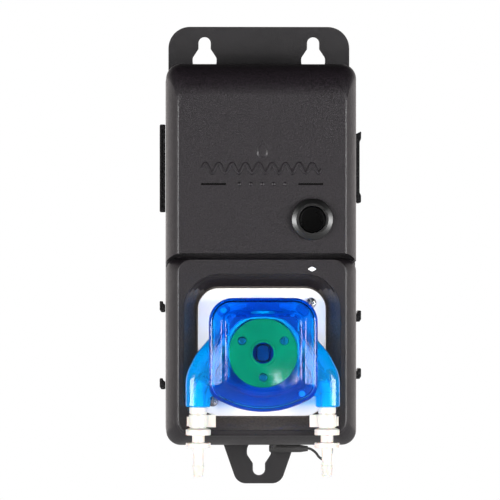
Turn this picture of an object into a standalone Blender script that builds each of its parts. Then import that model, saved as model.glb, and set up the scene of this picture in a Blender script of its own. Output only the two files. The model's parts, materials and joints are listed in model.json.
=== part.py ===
"""Wall-mounted peristaltic dosing pump, built as separate pieces at their real size.

Frame: the wall face of the back plate lies on Y = 0, the pump faces -Y, +X is right and +Z is up.
Depth below means the distance in front of the wall, so a point at depth d has Y = -d.
"""

import math

import bmesh
import bpy
from mathutils import Vector

MM = 0.001

# Driving dimensions -----------------------------------------------------------------------------
GAP = 0.3 * MM  # clearance between touching pieces
WALL = 2.2 * MM  # moulded wall
ROUND_STEPS = 4  # straight runs in one rounded corner
TURN_STEPS = 24  # sides of a large turned piece
SMALL_STEPS = 10  # sides of a pin, a screw or a hole

PLATE_THICKNESS = 2.0 * MM
PLATE_HALF_WIDTH = 44.0 * MM
PLATE_TOP = 111.0 * MM
TAB_BOTTOM = -111.0 * MM
KEYHOLE_X = 26.4 * MM
KEYHOLE_CIRCLE = 5.8 * MM  # radius
KEYHOLE_SLOT = 2.95 * MM  # half the width

CASE_HALF_WIDTH = 45.4 * MM
CASE_TOP = 91.3 * MM
CASE_BOTTOM = -90.6 * MM
CASE_CORNER = 7.0 * MM
CASE_BACK = PLATE_THICKNESS + GAP
SEAM = 30.0 * MM  # depth at which the covers meet the back housing
FACE = 54.0 * MM  # depth of the flat front of both covers
SIDE_SLOPE = 5.5 * MM  # how far the sides lean in towards the face
TOP_SLOPE = 15.6 * MM  # how far the top leans in
SLOPE_START = 38.0 * MM
SPLIT_TOP = 1.0 * MM  # lower edge of the upper cover
SPLIT_BOTTOM = -1.6 * MM  # upper edge of the lower cover

PUMP_Z = -46.0 * MM  # height of the rotor's axis
RECESS_HALF = 37.3 * MM
RECESS_FLOOR_HALF = 31.2 * MM
RECESS_FLOOR = 45.0 * MM
BASE_HALF = 30.4 * MM
BASE_BACK = RECESS_FLOOR + GAP
BASE_FRONT = BASE_BACK + 3.0 * MM
BASE_SCREW = 23.3 * MM  # offset of the two diagonal screws from the rotor's axis

HEAD_BACK = BASE_FRONT + GAP
HEAD_FRONT = 68.0 * MM
HEAD_HALF = 24.8 * MM
HEAD_CORNER = 10.5 * MM
HEAD_LOW = -65.6 * MM  # where the sides end and the bowed lower edge starts
HEAD_BOW = 10.8 * MM
HEAD_BOW_RADIUS = 40 * MM
LEG_BACK = 54.0 * MM
LEG_OUTER = 36.4 * MM
LEG_INNER = 24.9 * MM
LEG_BOTTOM = -71.4 * MM
COVER_FRONT = 76.0 * MM
COVER_HALF = 25.6 * MM
COVER_WALL = 1.5 * MM

RACE_RADIUS = 18.9 * MM
LEDGE_RADIUS = 21.8 * MM
ROLLER_ORBIT = 11.5 * MM
ROLLER_ANGLES = (30, 150, 270)
PIN_RADIUS = 1.8 * MM
SHAFT_RADIUS = 3.9 * MM
SHAFT_FLAT = 2.7 * MM  # half the distance across the flats

HOSE_X = 30.4 * MM
HOSE_DEPTH = 61.0 * MM
HOSE_RADIUS = 3.0 * MM
HOSE_WALL = 1.1 * MM
HOSE_SIDES = 8
HOSE_TRACK = 17.5 * MM  # radius of the hose's centre line round the rotor
HOSE_SQUEEZED = 2.6 * MM  # thickness where the rollers flatten it
WRAP_START = 30  # degrees at which the hose joins and leaves the race

BUTTON_X = 23.7 * MM
BUTTON_Z = 17.0 * MM
BUTTON_HOLE = 8.0 * MM

GEAR_MODULE = 1.0 * MM
GEAR_TEETH = 36
PINION_TEETH = 14
PRESSURE_ANGLE = math.radians(20)
BACKLASH = 0.12 * MM
MOTOR_Z = PUMP_Z + GEAR_MODULE * (GEAR_TEETH + PINION_TEETH) / 2

LEAD_RADIUS = 0.6 * MM
LEAD_DEPTH = 12.0 * MM
LEAD_EXIT_Z = -93.6 * MM
GROMMET_X = 35.0 * MM
BOOT_X = 6.5 * MM

# Colour, roughness, metallic and alpha of each finish.
FINISHES = {
    "casing_black": ((0.045, 0.042, 0.045), 0.55, 0.0, 1.0),
    "plate_black": ((0.035, 0.034, 0.036), 0.5, 0.0, 1.0),
    "gloss_black": ((0.012, 0.012, 0.013), 0.15, 0.0, 1.0),
    "white_plastic": ((0.86, 0.85, 0.85), 0.4, 0.0, 1.0),
    "blue_housing": ((0.03, 0.30, 0.72), 0.15, 0.0, 0.6),
    "blue_cover": ((0.01, 0.10, 0.62), 0.08, 0.0, 0.45),
    "rotor_green": ((0.01, 0.38, 0.13), 0.4, 0.0, 1.0),
    "hub_blue": ((0.01, 0.05, 0.42), 0.35, 0.0, 1.0),
    "roller_white": ((0.80, 0.80, 0.78), 0.35, 0.0, 1.0),
    "hose_clear": ((0.90, 0.88, 0.82), 0.35, 0.0, 1.0),
    "fitting_white": ((0.92, 0.88, 0.82), 0.35, 0.0, 1.0),
    "steel": ((0.60, 0.60, 0.60), 0.3, 1.0, 1.0),
    "brass": ((0.75, 0.55, 0.22), 0.3, 1.0, 1.0),
    "gear_plastic": ((0.75, 0.73, 0.66), 0.45, 0.0, 1.0),
    "board_green": ((0.02, 0.16, 0.06), 0.4, 0.0, 1.0),
    "rubber_black": ((0.02, 0.02, 0.02), 0.8, 0.0, 1.0),
    "lens_white": ((0.90, 0.90, 0.90), 0.25, 0.0, 1.0),
}


# Outlines ---------------------------------------------------------------------------------------
def rounded(corners, steps=ROUND_STEPS):
    """A closed outline through corners (x, z, radius), with an arc in place of each corner."""
    outline = []
    for index, (x, z, radius) in enumerate(corners):
        here = Vector((x, z))
        if radius == 0:
            outline.append(here)
            continue
        following = corners[(index + 1) % len(corners)]
        before = (Vector(corners[index - 1][:2]) - here).normalized()
        after = (Vector(following[:2]) - here).normalized()
        half = before.angle(after) / 2
        centre = here + (before + after).normalized() * (radius / math.sin(half))
        start = here + before * (radius / math.tan(half)) - centre
        end = here + after * (radius / math.tan(half)) - centre
        first = math.atan2(start.y, start.x)
        sweep = (math.atan2(end.y, end.x) - first + math.pi) % math.tau - math.pi
        for step in range(steps + 1):
            angle = first + sweep * step / steps
            outline.append(centre + Vector((math.cos(angle), math.sin(angle))) * radius)
    return outline


def mirrored(corners):
    """Right-hand corners, listed upwards, followed by their mirror images listed downwards."""
    return list(corners) + [(-x, z, radius) for x, z, radius in reversed(corners)]


def panel(half_width, bottom, top, bottom_corner, top_corner, steps=ROUND_STEPS):
    """A rectangle with rounded corners."""
    corners = [(half_width, bottom, bottom_corner), (half_width, top, top_corner)]
    return rounded(mirrored(corners), steps)


def circle(radius, x=0.0, z=0.0, steps=TURN_STEPS):
    angles = [math.tau * (step + 0.5) / steps for step in range(steps)]
    return [Vector((x + radius * math.cos(a), z + radius * math.sin(a))) for a in angles]


def at_depth(outline, depth):
    return [Vector((point.x, -depth, point.y)) for point in outline]


def at_height(outline, height):
    """Lays an outline flat: its first coordinate is X and its second is Y."""
    return [Vector((point.x, point.y, height)) for point in outline]


# Solids -----------------------------------------------------------------------------------------
def finish_material(name):
    found = bpy.data.materials.get(name)
    if found:
        return found
    colour, roughness, metallic, alpha = FINISHES[name]
    made = bpy.data.materials.new(name)
    made.use_nodes = True
    shader = made.node_tree.nodes["Principled BSDF"]
    shader.inputs["Base Color"].default_value = (*colour, 1.0)
    shader.inputs["Roughness"].default_value = roughness
    shader.inputs["Metallic"].default_value = metallic
    shader.inputs["Alpha"].default_value = alpha
    made.diffuse_color = (*colour, alpha)
    return made


def add_object(name, mesh_builder, finish):
    """Turns a bmesh into an object with outward normals, its finish and smooth shading."""
    bmesh.ops.recalc_face_normals(mesh_builder, faces=mesh_builder.faces)
    mesh = bpy.data.meshes.new(name)
    mesh_builder.to_mesh(mesh)
    mesh_builder.free()
    mesh.shade_smooth()
    mesh.set_sharp_from_angle(angle=math.radians(35))
    obj = bpy.data.objects.new(name, mesh)
    bpy.context.scene.collection.objects.link(obj)
    if finish:
        mesh.materials.append(finish_material(finish))
    else:
        obj.hide_render = True
        obj.display_type = "WIRE"
    return obj


def loft(name, rings, finish=None, endless=False):
    """A solid through rings of equally many points, capped at both ends or joined end to end."""
    builder = bmesh.new()
    loops = [[builder.verts.new(point) for point in ring] for ring in rings]
    pairs = list(zip(loops, loops[1:]))
    if endless:
        pairs.append((loops[-1], loops[0]))
    else:
        builder.faces.new(loops[0])
        builder.faces.new(loops[-1])
    for low, high in pairs:
        for index in range(len(low)):
            after = (index + 1) % len(low)
            builder.faces.new((low[index], low[after], high[after], high[index]))
    return add_object(name, builder, finish)


def prism(name, outline, back, front, finish=None):
    return loft(name, [at_depth(outline, back), at_depth(outline, front)], finish)


def turned(name, profile, finish=None, x=0.0, z=0.0, steps=TURN_STEPS, endless=False):
    """A solid turned about an axis along Y; profile lists (radius, depth)."""
    rings = [at_depth(circle(radius, x, z, steps), depth) for radius, depth in profile]
    return loft(name, rings, finish, endless)


def upright(name, profile, finish=None, x=0.0, depth=0.0, steps=TURN_STEPS, endless=False):
    """A solid turned about a vertical axis; profile lists (radius, height)."""
    rings = [at_height(circle(radius, x, -depth, steps), height) for radius, height in profile]
    return loft(name, rings, finish, endless)


def block(name, x_range, depth_range, z_range, finish=None):
    corners = [(x, z, 0) for x, z in (
        (x_range[1], z_range[0]),
        (x_range[1], z_range[1]),
        (x_range[0], z_range[1]),
        (x_range[0], z_range[0]),
    )]
    return prism(name, rounded(corners), depth_range[0], depth_range[1], finish)


def boolean(obj, tool, operation):
    """Joins or cuts with another object, which stays in the scene as a hidden guide."""
    tool.hide_render = True
    tool.display_type = "WIRE"
    modifier = obj.modifiers.new(tool.name, "BOOLEAN")
    modifier.operation = operation
    modifier.solver = "EXACT"
    modifier.object = tool
    return obj


def cut(obj, *tools):
    for tool in tools:
        boolean(obj, tool, "DIFFERENCE")
    return obj


def join(obj, *tools):
    for tool in tools:
        boolean(obj, tool, "UNION")
    return obj


def hole(name, radius, back, front, x=0.0, z=0.0, steps=SMALL_STEPS):
    return turned("cutter_" + name, [(radius, back), (radius, front)], None, x, z, steps)


def soften(obj, width):
    """Breaks the sharp edges of a moulded piece."""
    modifier = obj.modifiers.new("softened_edges", "BEVEL")
    modifier.width = width
    modifier.segments = 1
    modifier.limit_method = "ANGLE"
    modifier.angle_limit = math.radians(50)
    return obj


# Back plate -------------------------------------------------------------------------------------
PLATE_SCREWS = [(x * 37 * MM, z * MM) for x in (-1, 1) for z in (-74, 74)]


def keyhole(name, x, centre_z, up):
    """A round entry for a screw head that narrows to a slot; up is 1 or -1."""
    def z(offset):
        return centre_z + up * offset * MM

    corners = [
        (KEYHOLE_CIRCLE, z(-5.8), 5.7 * MM),
        (KEYHOLE_CIRCLE, z(1.6), 2.5 * MM),
        (KEYHOLE_SLOT, z(5.9), 1.2 * MM),
        (KEYHOLE_SLOT, z(11.7), 2.9 * MM),
    ]
    outline = [Vector((x + point.x, point.y)) for point in rounded(mirrored(corners), 4)]
    return prism("cutter_" + name, outline, -2 * MM, PLATE_THICKNESS + 2 * MM)


def back_plate():
    side = [
        (4.6 * MM, TAB_BOTTOM, 0),
        (10.6 * MM, TAB_BOTTOM, 6.0 * MM),
        (17.9 * MM, -90.0 * MM, 0),
        (18.6 * MM, -88.0 * MM, 0),
        (PLATE_HALF_WIDTH, -88.0 * MM, 6.0 * MM),
        (PLATE_HALF_WIDTH, PLATE_TOP, 10.5 * MM),
    ]
    plate = prism("back_plate", rounded(mirrored(side)), 0, PLATE_THICKNESS, "plate_black")
    cut(plate, keyhole("keyhole_left", -KEYHOLE_X, 94.3 * MM, 1))
    cut(plate, keyhole("keyhole_right", KEYHOLE_X, 94.3 * MM, 1))
    cut(plate, keyhole("keyhole_tab", 0, -95.3 * MM, -1))
    for number, (x, z) in enumerate(PLATE_SCREWS, 1):
        profile = [(4.2 * MM, -1 * MM), (3.4 * MM, 0), (2.0 * MM, 1.5 * MM), (2.0 * MM, 3 * MM)]
        cut(plate, turned(f"cutter_countersink_{number}", profile, None, x, z, SMALL_STEPS))


def plate_screws():
    """Countersunk screws from the wall side into the back housing's bosses."""
    profile = [(2.9 * MM, 0.15 * MM), (1.6 * MM, 1.55 * MM), (1.6 * MM, 8.5 * MM), (0.9 * MM, 9.2 * MM)]
    for number, (x, z) in enumerate(PLATE_SCREWS, 1):
        screw = turned(f"plate_screw_{number}", profile, "steel", x, z, SMALL_STEPS)
        cut(screw, *cross_recess(f"plate_screw_{number}", x, z, -1 * MM, 0.9 * MM))


def cross_recess(name, x, z, back, front):
    """Two crossed slots for a screwdriver."""
    arm = 1.5 * MM
    width = 0.4 * MM
    return (
        block(f"cutter_{name}_across", (x - arm, x + arm), (back, front), (z - width, z + width)),
        block(f"cutter_{name}_along", (x - width, x + width), (back, front), (z - arm, z + arm)),
    )


# Casing -----------------------------------------------------------------------------------------
BOARD_SCREWS = [(-26 * MM, 34 * MM), (26 * MM, 78 * MM)]


def back_housing():
    """The deep tray behind both covers, with one compartment above the split and one below."""
    outline = panel(CASE_HALF_WIDTH, CASE_BOTTOM, CASE_TOP, CASE_CORNER, CASE_CORNER)
    edge = panel(CASE_HALF_WIDTH - 0.6 * MM, CASE_BOTTOM + 0.6 * MM, CASE_TOP - 0.6 * MM,
                 CASE_CORNER - 0.6 * MM, CASE_CORNER - 0.6 * MM)
    rings = [
        at_depth(edge, CASE_BACK),
        at_depth(outline, CASE_BACK + 0.6 * MM),
        at_depth(outline, SEAM - 0.5 * MM),
        at_depth(edge, SEAM),
    ]
    tray = loft("back_housing", rings, "casing_black")
    inner = CASE_HALF_WIDTH - WALL
    floor = CASE_BACK + WALL
    upper = panel(inner, SPLIT_TOP + 1.5 * MM, CASE_TOP - WALL, 2 * MM, 5 * MM, 3)
    lower = panel(inner, CASE_BOTTOM + WALL, SPLIT_BOTTOM - 1.5 * MM, 5 * MM, 2 * MM, 3)
    cut(tray, prism("cutter_upper_bay", upper, floor, SEAM + 1 * MM))
    cut(tray, prism("cutter_lower_bay", lower, floor, SEAM + 1 * MM))
    for number, (x, z) in enumerate(PLATE_SCREWS, 1):
        join(tray, turned(f"boss_{number}", [(4 * MM, floor - 1 * MM), (4 * MM, 11 * MM)],
                          None, x, z, SMALL_STEPS))
        cut(tray, hole(f"boss_hole_{number}", 2 * MM, 0, 9.8 * MM, x, z))
    for number, (x, z) in enumerate(BOARD_SCREWS, 1):
        join(tray, turned(f"standoff_{number}", [(2.8 * MM, floor - 1 * MM), (2.8 * MM, 10 * MM)],
                          None, x, z, SMALL_STEPS))
        cut(tray, hole(f"standoff_hole_{number}", 1.4 * MM, 6 * MM, 12 * MM, x, z))
    wire_gap = (SEAM - 8 * MM, SEAM - 2 * MM)
    cut(tray, block("cutter_wire_gap", (-34 * MM, -26 * MM), wire_gap, (-8 * MM, 8 * MM)))
    below = [(CASE_BOTTOM - 2 * MM), (CASE_BOTTOM + WALL + 2 * MM)]
    for name, x, radius in (("boot_hole", BOOT_X, 2.3 * MM), ("grommet_hole", GROMMET_X, 2.2 * MM)):
        profile = [(radius, height) for height in below]
        cut(tray, upright("cutter_" + name, profile, None, x, LEAD_DEPTH, SMALL_STEPS))


def side_profile():
    """(depth, side inset, top inset) along a cover's edge, from the seam to the face."""
    profile = [(SEAM + GAP, 0.5 * MM, 0.5 * MM), (SEAM + GAP + 0.5 * MM, 0, 0)]
    depth = FACE - SLOPE_START
    for share in (0, 0.35, 0.62, 0.82, 0.94):
        side = SIDE_SLOPE * share ** 1.6
        top = TOP_SLOPE * (1 - math.sqrt(1 - share * share))
        profile.append((SLOPE_START + depth * share, side, top))
    profile.append((FACE - 0.05 * MM, SIDE_SLOPE - 0.15 * MM, TOP_SLOPE - 1.5 * MM))
    profile.append((FACE, SIDE_SLOPE + 0.25 * MM, TOP_SLOPE + 1.5 * MM))
    return profile


def shell(name, outer_ring, inner_ring, profile):
    """A cup-shaped cover: its outer rings from the face back, then its inner rings forwards."""
    outer = [outer_ring(depth, side, top) for depth, side, top in reversed(profile)]
    inner = [inner_ring(SEAM + GAP, WALL + profile[0][1], WALL + profile[0][2])]
    for depth, side, top in profile[3::2]:
        if depth - WALL > SEAM + 2 * MM:
            inner.append(inner_ring(depth - WALL, side + WALL, top + WALL))
    return loft(name, outer + inner, "casing_black")


def upper_cover():
    """The tall cover, whose lower edge follows the rounded top of the cover below it."""
    def outer_ring(depth, side, top):
        outline = panel(CASE_HALF_WIDTH - side, -4.5 * MM, CASE_TOP - top, 1 * MM, CASE_CORNER)
        return at_depth(outline, depth)

    def inner_ring(depth, side, top):
        outline = panel(CASE_HALF_WIDTH - side, SPLIT_TOP + WALL, CASE_TOP - top, 4 * MM, 5 * MM)
        return at_depth(outline, depth)

    cover = shell("upper_cover", outer_ring, inner_ring, side_profile())
    notch = panel(47 * MM, -12 * MM, SPLIT_TOP, 0.5 * MM, 9 * MM)
    cut(cover, prism("cutter_split_notch", notch, SEAM - 5 * MM, FACE + 5 * MM))
    cut(cover, hole("button_hole", BUTTON_HOLE, FACE - 8 * MM, FACE + 3 * MM, BUTTON_X, BUTTON_Z, 24))


def recess_ring(depth, half, corner, extra=0.0):
    outline = panel(half + extra, PUMP_Z - half - extra, PUMP_Z + half + extra,
                    corner + extra, corner + extra)
    return at_depth(outline, depth)


def lower_cover():
    """The cover round the pump, with a sunken bay that the pump's base plate sits in."""
    def outer_ring(depth, side, top):
        outline = panel(CASE_HALF_WIDTH - side, CASE_BOTTOM + side, SPLIT_BOTTOM - side * 0.08,
                        CASE_CORNER, 6 * MM)
        return at_depth(outline, depth)

    def inner_ring(depth, side, top):
        outline = panel(CASE_HALF_WIDTH - side, CASE_BOTTOM + side, SPLIT_BOTTOM - WALL,
                        5 * MM, 4 * MM)
        return at_depth(outline, depth)

    cover = shell("lower_cover", outer_ring, inner_ring, side_profile())
    middle = (RECESS_HALF + RECESS_FLOOR_HALF) / 2 + 1 * MM
    bay = [
        recess_ring(FACE + 3 * MM, RECESS_HALF + 0.5 * MM, 18 * MM),
        recess_ring(FACE, RECESS_HALF, 17.5 * MM),
        recess_ring(FACE - 4 * MM, middle, 14.5 * MM),
        recess_ring(RECESS_FLOOR, RECESS_FLOOR_HALF, 10.8 * MM),
    ]
    bay_wall = [
        recess_ring(FACE - 0.7 * MM, RECESS_HALF, 17.5 * MM, 1.6 * MM),
        recess_ring(FACE - 4 * MM, middle, 14.5 * MM, WALL),
        recess_ring(RECESS_FLOOR - WALL, RECESS_FLOOR_HALF, 10.8 * MM, WALL - 1 * MM),
    ]
    join(cover, loft("guide_bay_wall", bay_wall))
    cut(cover, loft("cutter_bay", bay))
    cut(cover, hole("floor_hole", 9 * MM, RECESS_FLOOR - 5 * MM, FACE, 0, PUMP_Z, 24))
    for number, (x, z) in enumerate(base_screw_places(), 1):
        cut(cover, hole(f"floor_screw_{number}", 1.7 * MM, RECESS_FLOOR - 5 * MM, FACE, x, z))
    lens = lens_outline(0.25 * MM)
    cut(cover, prism("cutter_lens", lens, FACE - 0.8 * MM, FACE + 2 * MM))


def casing_gasket():
    """A flat ring that seals the electronics bay, just inside the upper cover's walls."""
    rings = []
    for inset, depth in ((0, SEAM + GAP), (0, SEAM + 1.6 * MM), (1.6 * MM, SEAM + 1.6 * MM),
                         (1.6 * MM, SEAM + GAP)):
        outline = panel(CASE_HALF_WIDTH - 3.1 * MM - inset, SPLIT_TOP + WALL + 0.6 * MM + inset,
                        CASE_TOP - 3.1 * MM - inset, 4 * MM, 4.5 * MM, 3)
        rings.append(at_depth(outline, depth))
    loft("casing_gasket", rings, "rubber_black", endless=True)


def lens_outline(extra=0.0):
    x = BUTTON_X
    corners = [
        (x - 2.3 * MM - extra, -7.8 * MM - extra, 1.2 * MM),
        (x + 2.3 * MM + extra, -7.8 * MM - extra, 1.2 * MM),
        (x + 2.3 * MM + extra, -5.3 * MM + extra, 1.2 * MM),
        (x - 2.3 * MM - extra, -5.3 * MM + extra, 1.2 * MM),
    ]
    return rounded(corners, 4)


def indicator_lens():
    rings = [at_depth(lens_outline(), FACE - 0.5 * MM), at_depth(lens_outline(), FACE + 0.15 * MM)]
    loft("indicator_lens", rings, "lens_white")


# Side fittings ----------------------------------------------------------------------------------
SIDE_BACK = 16.0 * MM
SIDE_FRONT = 27.0 * MM


def side_piece(name, sign, corners, finish="gloss_black"):
    """A flat moulded piece lying against a side wall; corners list (distance out, height, radius)."""
    wall = CASE_HALF_WIDTH + GAP
    placed = [(sign * (wall + out), z, radius) for out, z, radius in corners]
    piece = prism(name, rounded(placed, 3), SIDE_BACK, SIDE_FRONT, finish)
    return soften(piece, 0.35 * MM)


def side_pieces():
    """The retaining bar and spring clip of the upper cover and the four lugs of the lower one."""
    bar = [(0, 20.6 * MM, 0), (2.7 * MM, 20.6 * MM, 0.7 * MM), (2.7 * MM, 62.8 * MM, 0.7 * MM),
           (0, 62.8 * MM, 0)]
    retaining_bar = side_piece("side_bar_left", -1, bar)
    groove = (-CASE_HALF_WIDTH - 2.1 * MM, -CASE_HALF_WIDTH - 1.2 * MM)
    cut(retaining_bar, block("cutter_bar_groove", groove, (SIDE_FRONT - 1 * MM, SIDE_FRONT + 1 * MM),
                             (23 * MM, 60.4 * MM)))
    clip = [
        (0, 25.6 * MM, 0), (1.2 * MM, 24.8 * MM, 0), (2.7 * MM, 25.4 * MM, 0),
        (2.7 * MM, 28.6 * MM, 0.4 * MM), (2.0 * MM, 30.2 * MM, 0.4 * MM),
        (2.0 * MM, 54.4 * MM, 0.4 * MM), (2.7 * MM, 56.0 * MM, 0.4 * MM),
        (2.8 * MM, 59.6 * MM, 0), (0, 58.2 * MM, 0),
    ]
    side_piece("side_clip_right", 1, clip)
    for name, sign, top, bottom in (
        ("lug_left_upper", -1, -22.1, -27.4),
        ("lug_left_lower", -1, -59.2, -64.4),
        ("lug_right_upper", 1, -26.6, -32.0),
        ("lug_right_lower", 1, -54.4, -59.5),
    ):
        lug = [(0, bottom * MM, 0), (1.9 * MM, bottom * MM, 0.5 * MM),
               (2.7 * MM, (bottom + 1.2) * MM, 0.4 * MM), (2.7 * MM, top * MM, 0.4 * MM),
               (1.2 * MM, top * MM, 0.4 * MM), (0.8 * MM, (top - 1.4) * MM, 0), (0, (top - 1.4) * MM, 0)]
        side_piece(name, sign, lug)


# Push button ------------------------------------------------------------------------------------
def push_button():
    """A round panel button: bezel with its barrel, nut, contact block, return spring and cap."""
    bezel = [(10.0, 54.3), (10.0, 55.0), (7.3, 57.6), (6.8, 57.6), (6.5, 57.2), (6.5, 37.0),
             (7.7, 37.0), (7.7, 54.3)]
    place = {"x": BUTTON_X, "z": BUTTON_Z}
    turned("button_bezel", millimetres(bezel), "gloss_black", endless=True, **place)
    nut = [(9.6, 48.4), (9.6, 51.4), (8.0, 51.4), (8.0, 48.4)]
    turned("button_nut", millimetres(nut), "steel", endless=True, steps=6 * 3, **place)
    contacts = [(6.2, 37.3), (6.2, 40.6), (1.8, 40.6), (1.8, 41.0)]
    contact_block = turned("button_contact_block", millimetres(contacts), "board_green", steps=16,
                           **place)
    for side in (-3 * MM, 3 * MM):
        x_range = (BUTTON_X + side - 0.3 * MM, BUTTON_X + side + 0.3 * MM)
        tag = block(f"guide_terminal_{side > 0}", x_range, (32 * MM, 38 * MM),
                    (BUTTON_Z - 1.2 * MM, BUTTON_Z + 1.2 * MM))
        join(contact_block, tag)
    cap = [(4.4, 56.3), (4.9, 56.5), (5.6, 56.8), (6.1, 56.4), (6.1, 46.0), (4.4, 46.0), (4.4, 53.0)]
    turned("button_cap", millimetres(cap), "gloss_black", **place)
    button_spring()


def millimetres(profile):
    return [(a * MM, b * MM) for a, b in profile]


def button_spring():
    """A compression spring between the contact block and the cap's pocket."""
    coil = 3.4 * MM
    wire = 0.3 * MM
    turns = 4
    per_turn = 8
    back = 41.4 * MM
    front = 50.8 * MM
    rings = []
    for step in range(turns * per_turn + 1):
        angle = math.tau * step / per_turn
        depth = back + (front - back) * step / (turns * per_turn)
        outwards = Vector((math.cos(angle), 0, math.sin(angle)))
        centre = Vector((BUTTON_X, -depth, BUTTON_Z)) + outwards * coil
        forwards = Vector((0, -1, 0))
        rings.append([
            centre + (outwards * math.cos(a) + forwards * math.sin(a)) * wire
            for a in (math.tau * side / 4 for side in range(4))
        ])
    loft("button_spring", rings, "steel")


# Pump base and housing --------------------------------------------------------------------------
def base_screw_places():
    return [(sign * BASE_SCREW, PUMP_Z + sign * BASE_SCREW) for sign in (1, -1)]


def pump_base_plate():
    def ring(depth, inset):
        return recess_ring(depth, BASE_HALF - inset, 10 * MM - inset)

    rings = [ring(BASE_BACK, 0), ring(BASE_FRONT - 0.5 * MM, 0), ring(BASE_FRONT, 0.5 * MM)]
    plate = loft("pump_base_plate", rings, "white_plastic")
    cut(plate, hole("base_hole", 9 * MM, BASE_BACK - MM, BASE_FRONT + MM, 0, PUMP_Z, 24))
    for number, (x, z) in enumerate(base_screw_places(), 1):
        cut(plate, hole(f"base_screw_{number}", 1.7 * MM, BASE_BACK - MM, BASE_FRONT + MM, x, z))
        profile = [(0.8, 39.6), (1.4, 40.4), (1.4, 48.6), (2.85, 48.6), (2.85, 49.6), (2.2, 50.4),
                   (1.0, 50.7)]
        screw = turned(f"base_screw_{number}", millimetres(profile), "steel", x, z, 16)
        cut(screw, *cross_recess(f"base_screw_{number}", x, z, 49.8 * MM, 52 * MM))


def leg_outline():
    """The head with its two hose legs, which flare outwards and then run straight down."""
    right = [
        (LEG_INNER, -66.4 * MM, 0),
        (LEG_INNER, LEG_BOTTOM, 0.6 * MM),
        (LEG_OUTER, LEG_BOTTOM, 0.6 * MM),
        (LEG_OUTER, -56.5 * MM, 9 * MM),
        (31.5 * MM, -46.6 * MM, 8 * MM),
        (HEAD_HALF, -38.6 * MM, 2 * MM),
        (HEAD_HALF, -20.8 * MM, HEAD_CORNER),
    ]
    return rounded([(0, HEAD_LOW - HEAD_BOW, HEAD_BOW_RADIUS)] + mirrored(right))


def hose_route():
    """(point, squeeze) along the hose, from its left end over the rotor; squeeze is its half thickness."""
    leave = math.radians(180 - WRAP_START)
    axis = Vector((0, PUMP_Z))
    tangent_point = axis + Vector((math.cos(leave), math.sin(leave))) * HOSE_TRACK
    outwards = Vector((-math.sin(leave), math.cos(leave)))
    reach = (-HOSE_X - tangent_point.x) / outwards.x
    knee = tangent_point + outwards * reach
    bend = rounded([(-HOSE_X, LEG_BOTTOM, 0), (knee.x, knee.y, 14 * MM), (*tangent_point, 0)], 3)[1:-1]
    half = HOSE_SQUEEZED / 2
    route = [(Vector((-HOSE_X, LEG_BOTTOM + 0.4 * MM)), HOSE_RADIUS)]
    route += [(point, HOSE_RADIUS) for point in bend]
    inner = HOSE_TRACK - half
    for distance in (13, 8, 5, 2.5):
        along = distance * MM
        room = HOSE_TRACK - math.sqrt(max(inner * inner - along * along, 0))
        route.append((tangent_point + outwards * along, min(max(room, half), HOSE_RADIUS)))
    arc_steps = 7
    for step in range(arc_steps + 1):
        angle = leave + (math.pi / 2 - leave) * step / arc_steps
        route.append((axis + Vector((math.cos(angle), math.sin(angle))) * HOSE_TRACK, half))
    right = [(Vector((-point.x, point.y)), thickness) for point, thickness in reversed(route[:-1])]
    return route + right


def along_route(route, section_of):
    """Rings of points round a route in the XZ plane; section_of gives (across, forward) pairs."""
    rings = []
    for index, (point, thickness) in enumerate(route):
        before = route[max(index - 1, 0)][0]
        after = route[min(index + 1, len(route) - 1)][0]
        heading = (after - before).normalized()
        across = Vector((-heading.y, heading.x))
        rings.append([
            Vector((point.x + across.x * a, -HOSE_DEPTH - b, point.y + across.y * a))
            for a, b in section_of(thickness)
        ])
    return rings


def hose_section(thickness, shrink):
    """A circle, or a flat oval of the same girth where the hose is squeezed."""
    half_width = HOSE_RADIUS + (HOSE_RADIUS - thickness) * 0.57
    return [
        ((thickness - shrink) * math.cos(a), (half_width - shrink) * math.sin(a))
        for a in (math.tau * (side + 0.5) / HOSE_SIDES for side in range(HOSE_SIDES))
    ]


def peristaltic_hose():
    route = hose_route()
    outer = along_route(route, lambda thickness: hose_section(thickness, 0))
    inner = along_route(route, lambda thickness: hose_section(thickness, HOSE_WALL))
    loft("peristaltic_hose", outer + inner[::-1], "hose_clear", endless=True)


def hose_channels():
    """Cutters for the two ways from the race to the ends of the legs."""
    route = [entry for entry in hose_route() if entry[0].x <= -HOSE_TRACK * math.cos(math.radians(38))]
    low = (Vector((-HOSE_X, LEG_BOTTOM - 4 * MM)), HOSE_RADIUS)
    section = [(point.x, point.y) for point in panel(3.5 * MM, -4.4 * MM, 4.4 * MM, 2.6 * MM, 2.6 * MM, 2)]
    left = along_route([low] + route, lambda thickness: section)
    right = [[Vector((-point.x, point.y, point.z)) for point in ring] for ring in left]
    return loft("cutter_channel_left", left), loft("cutter_channel_right", right)


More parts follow.
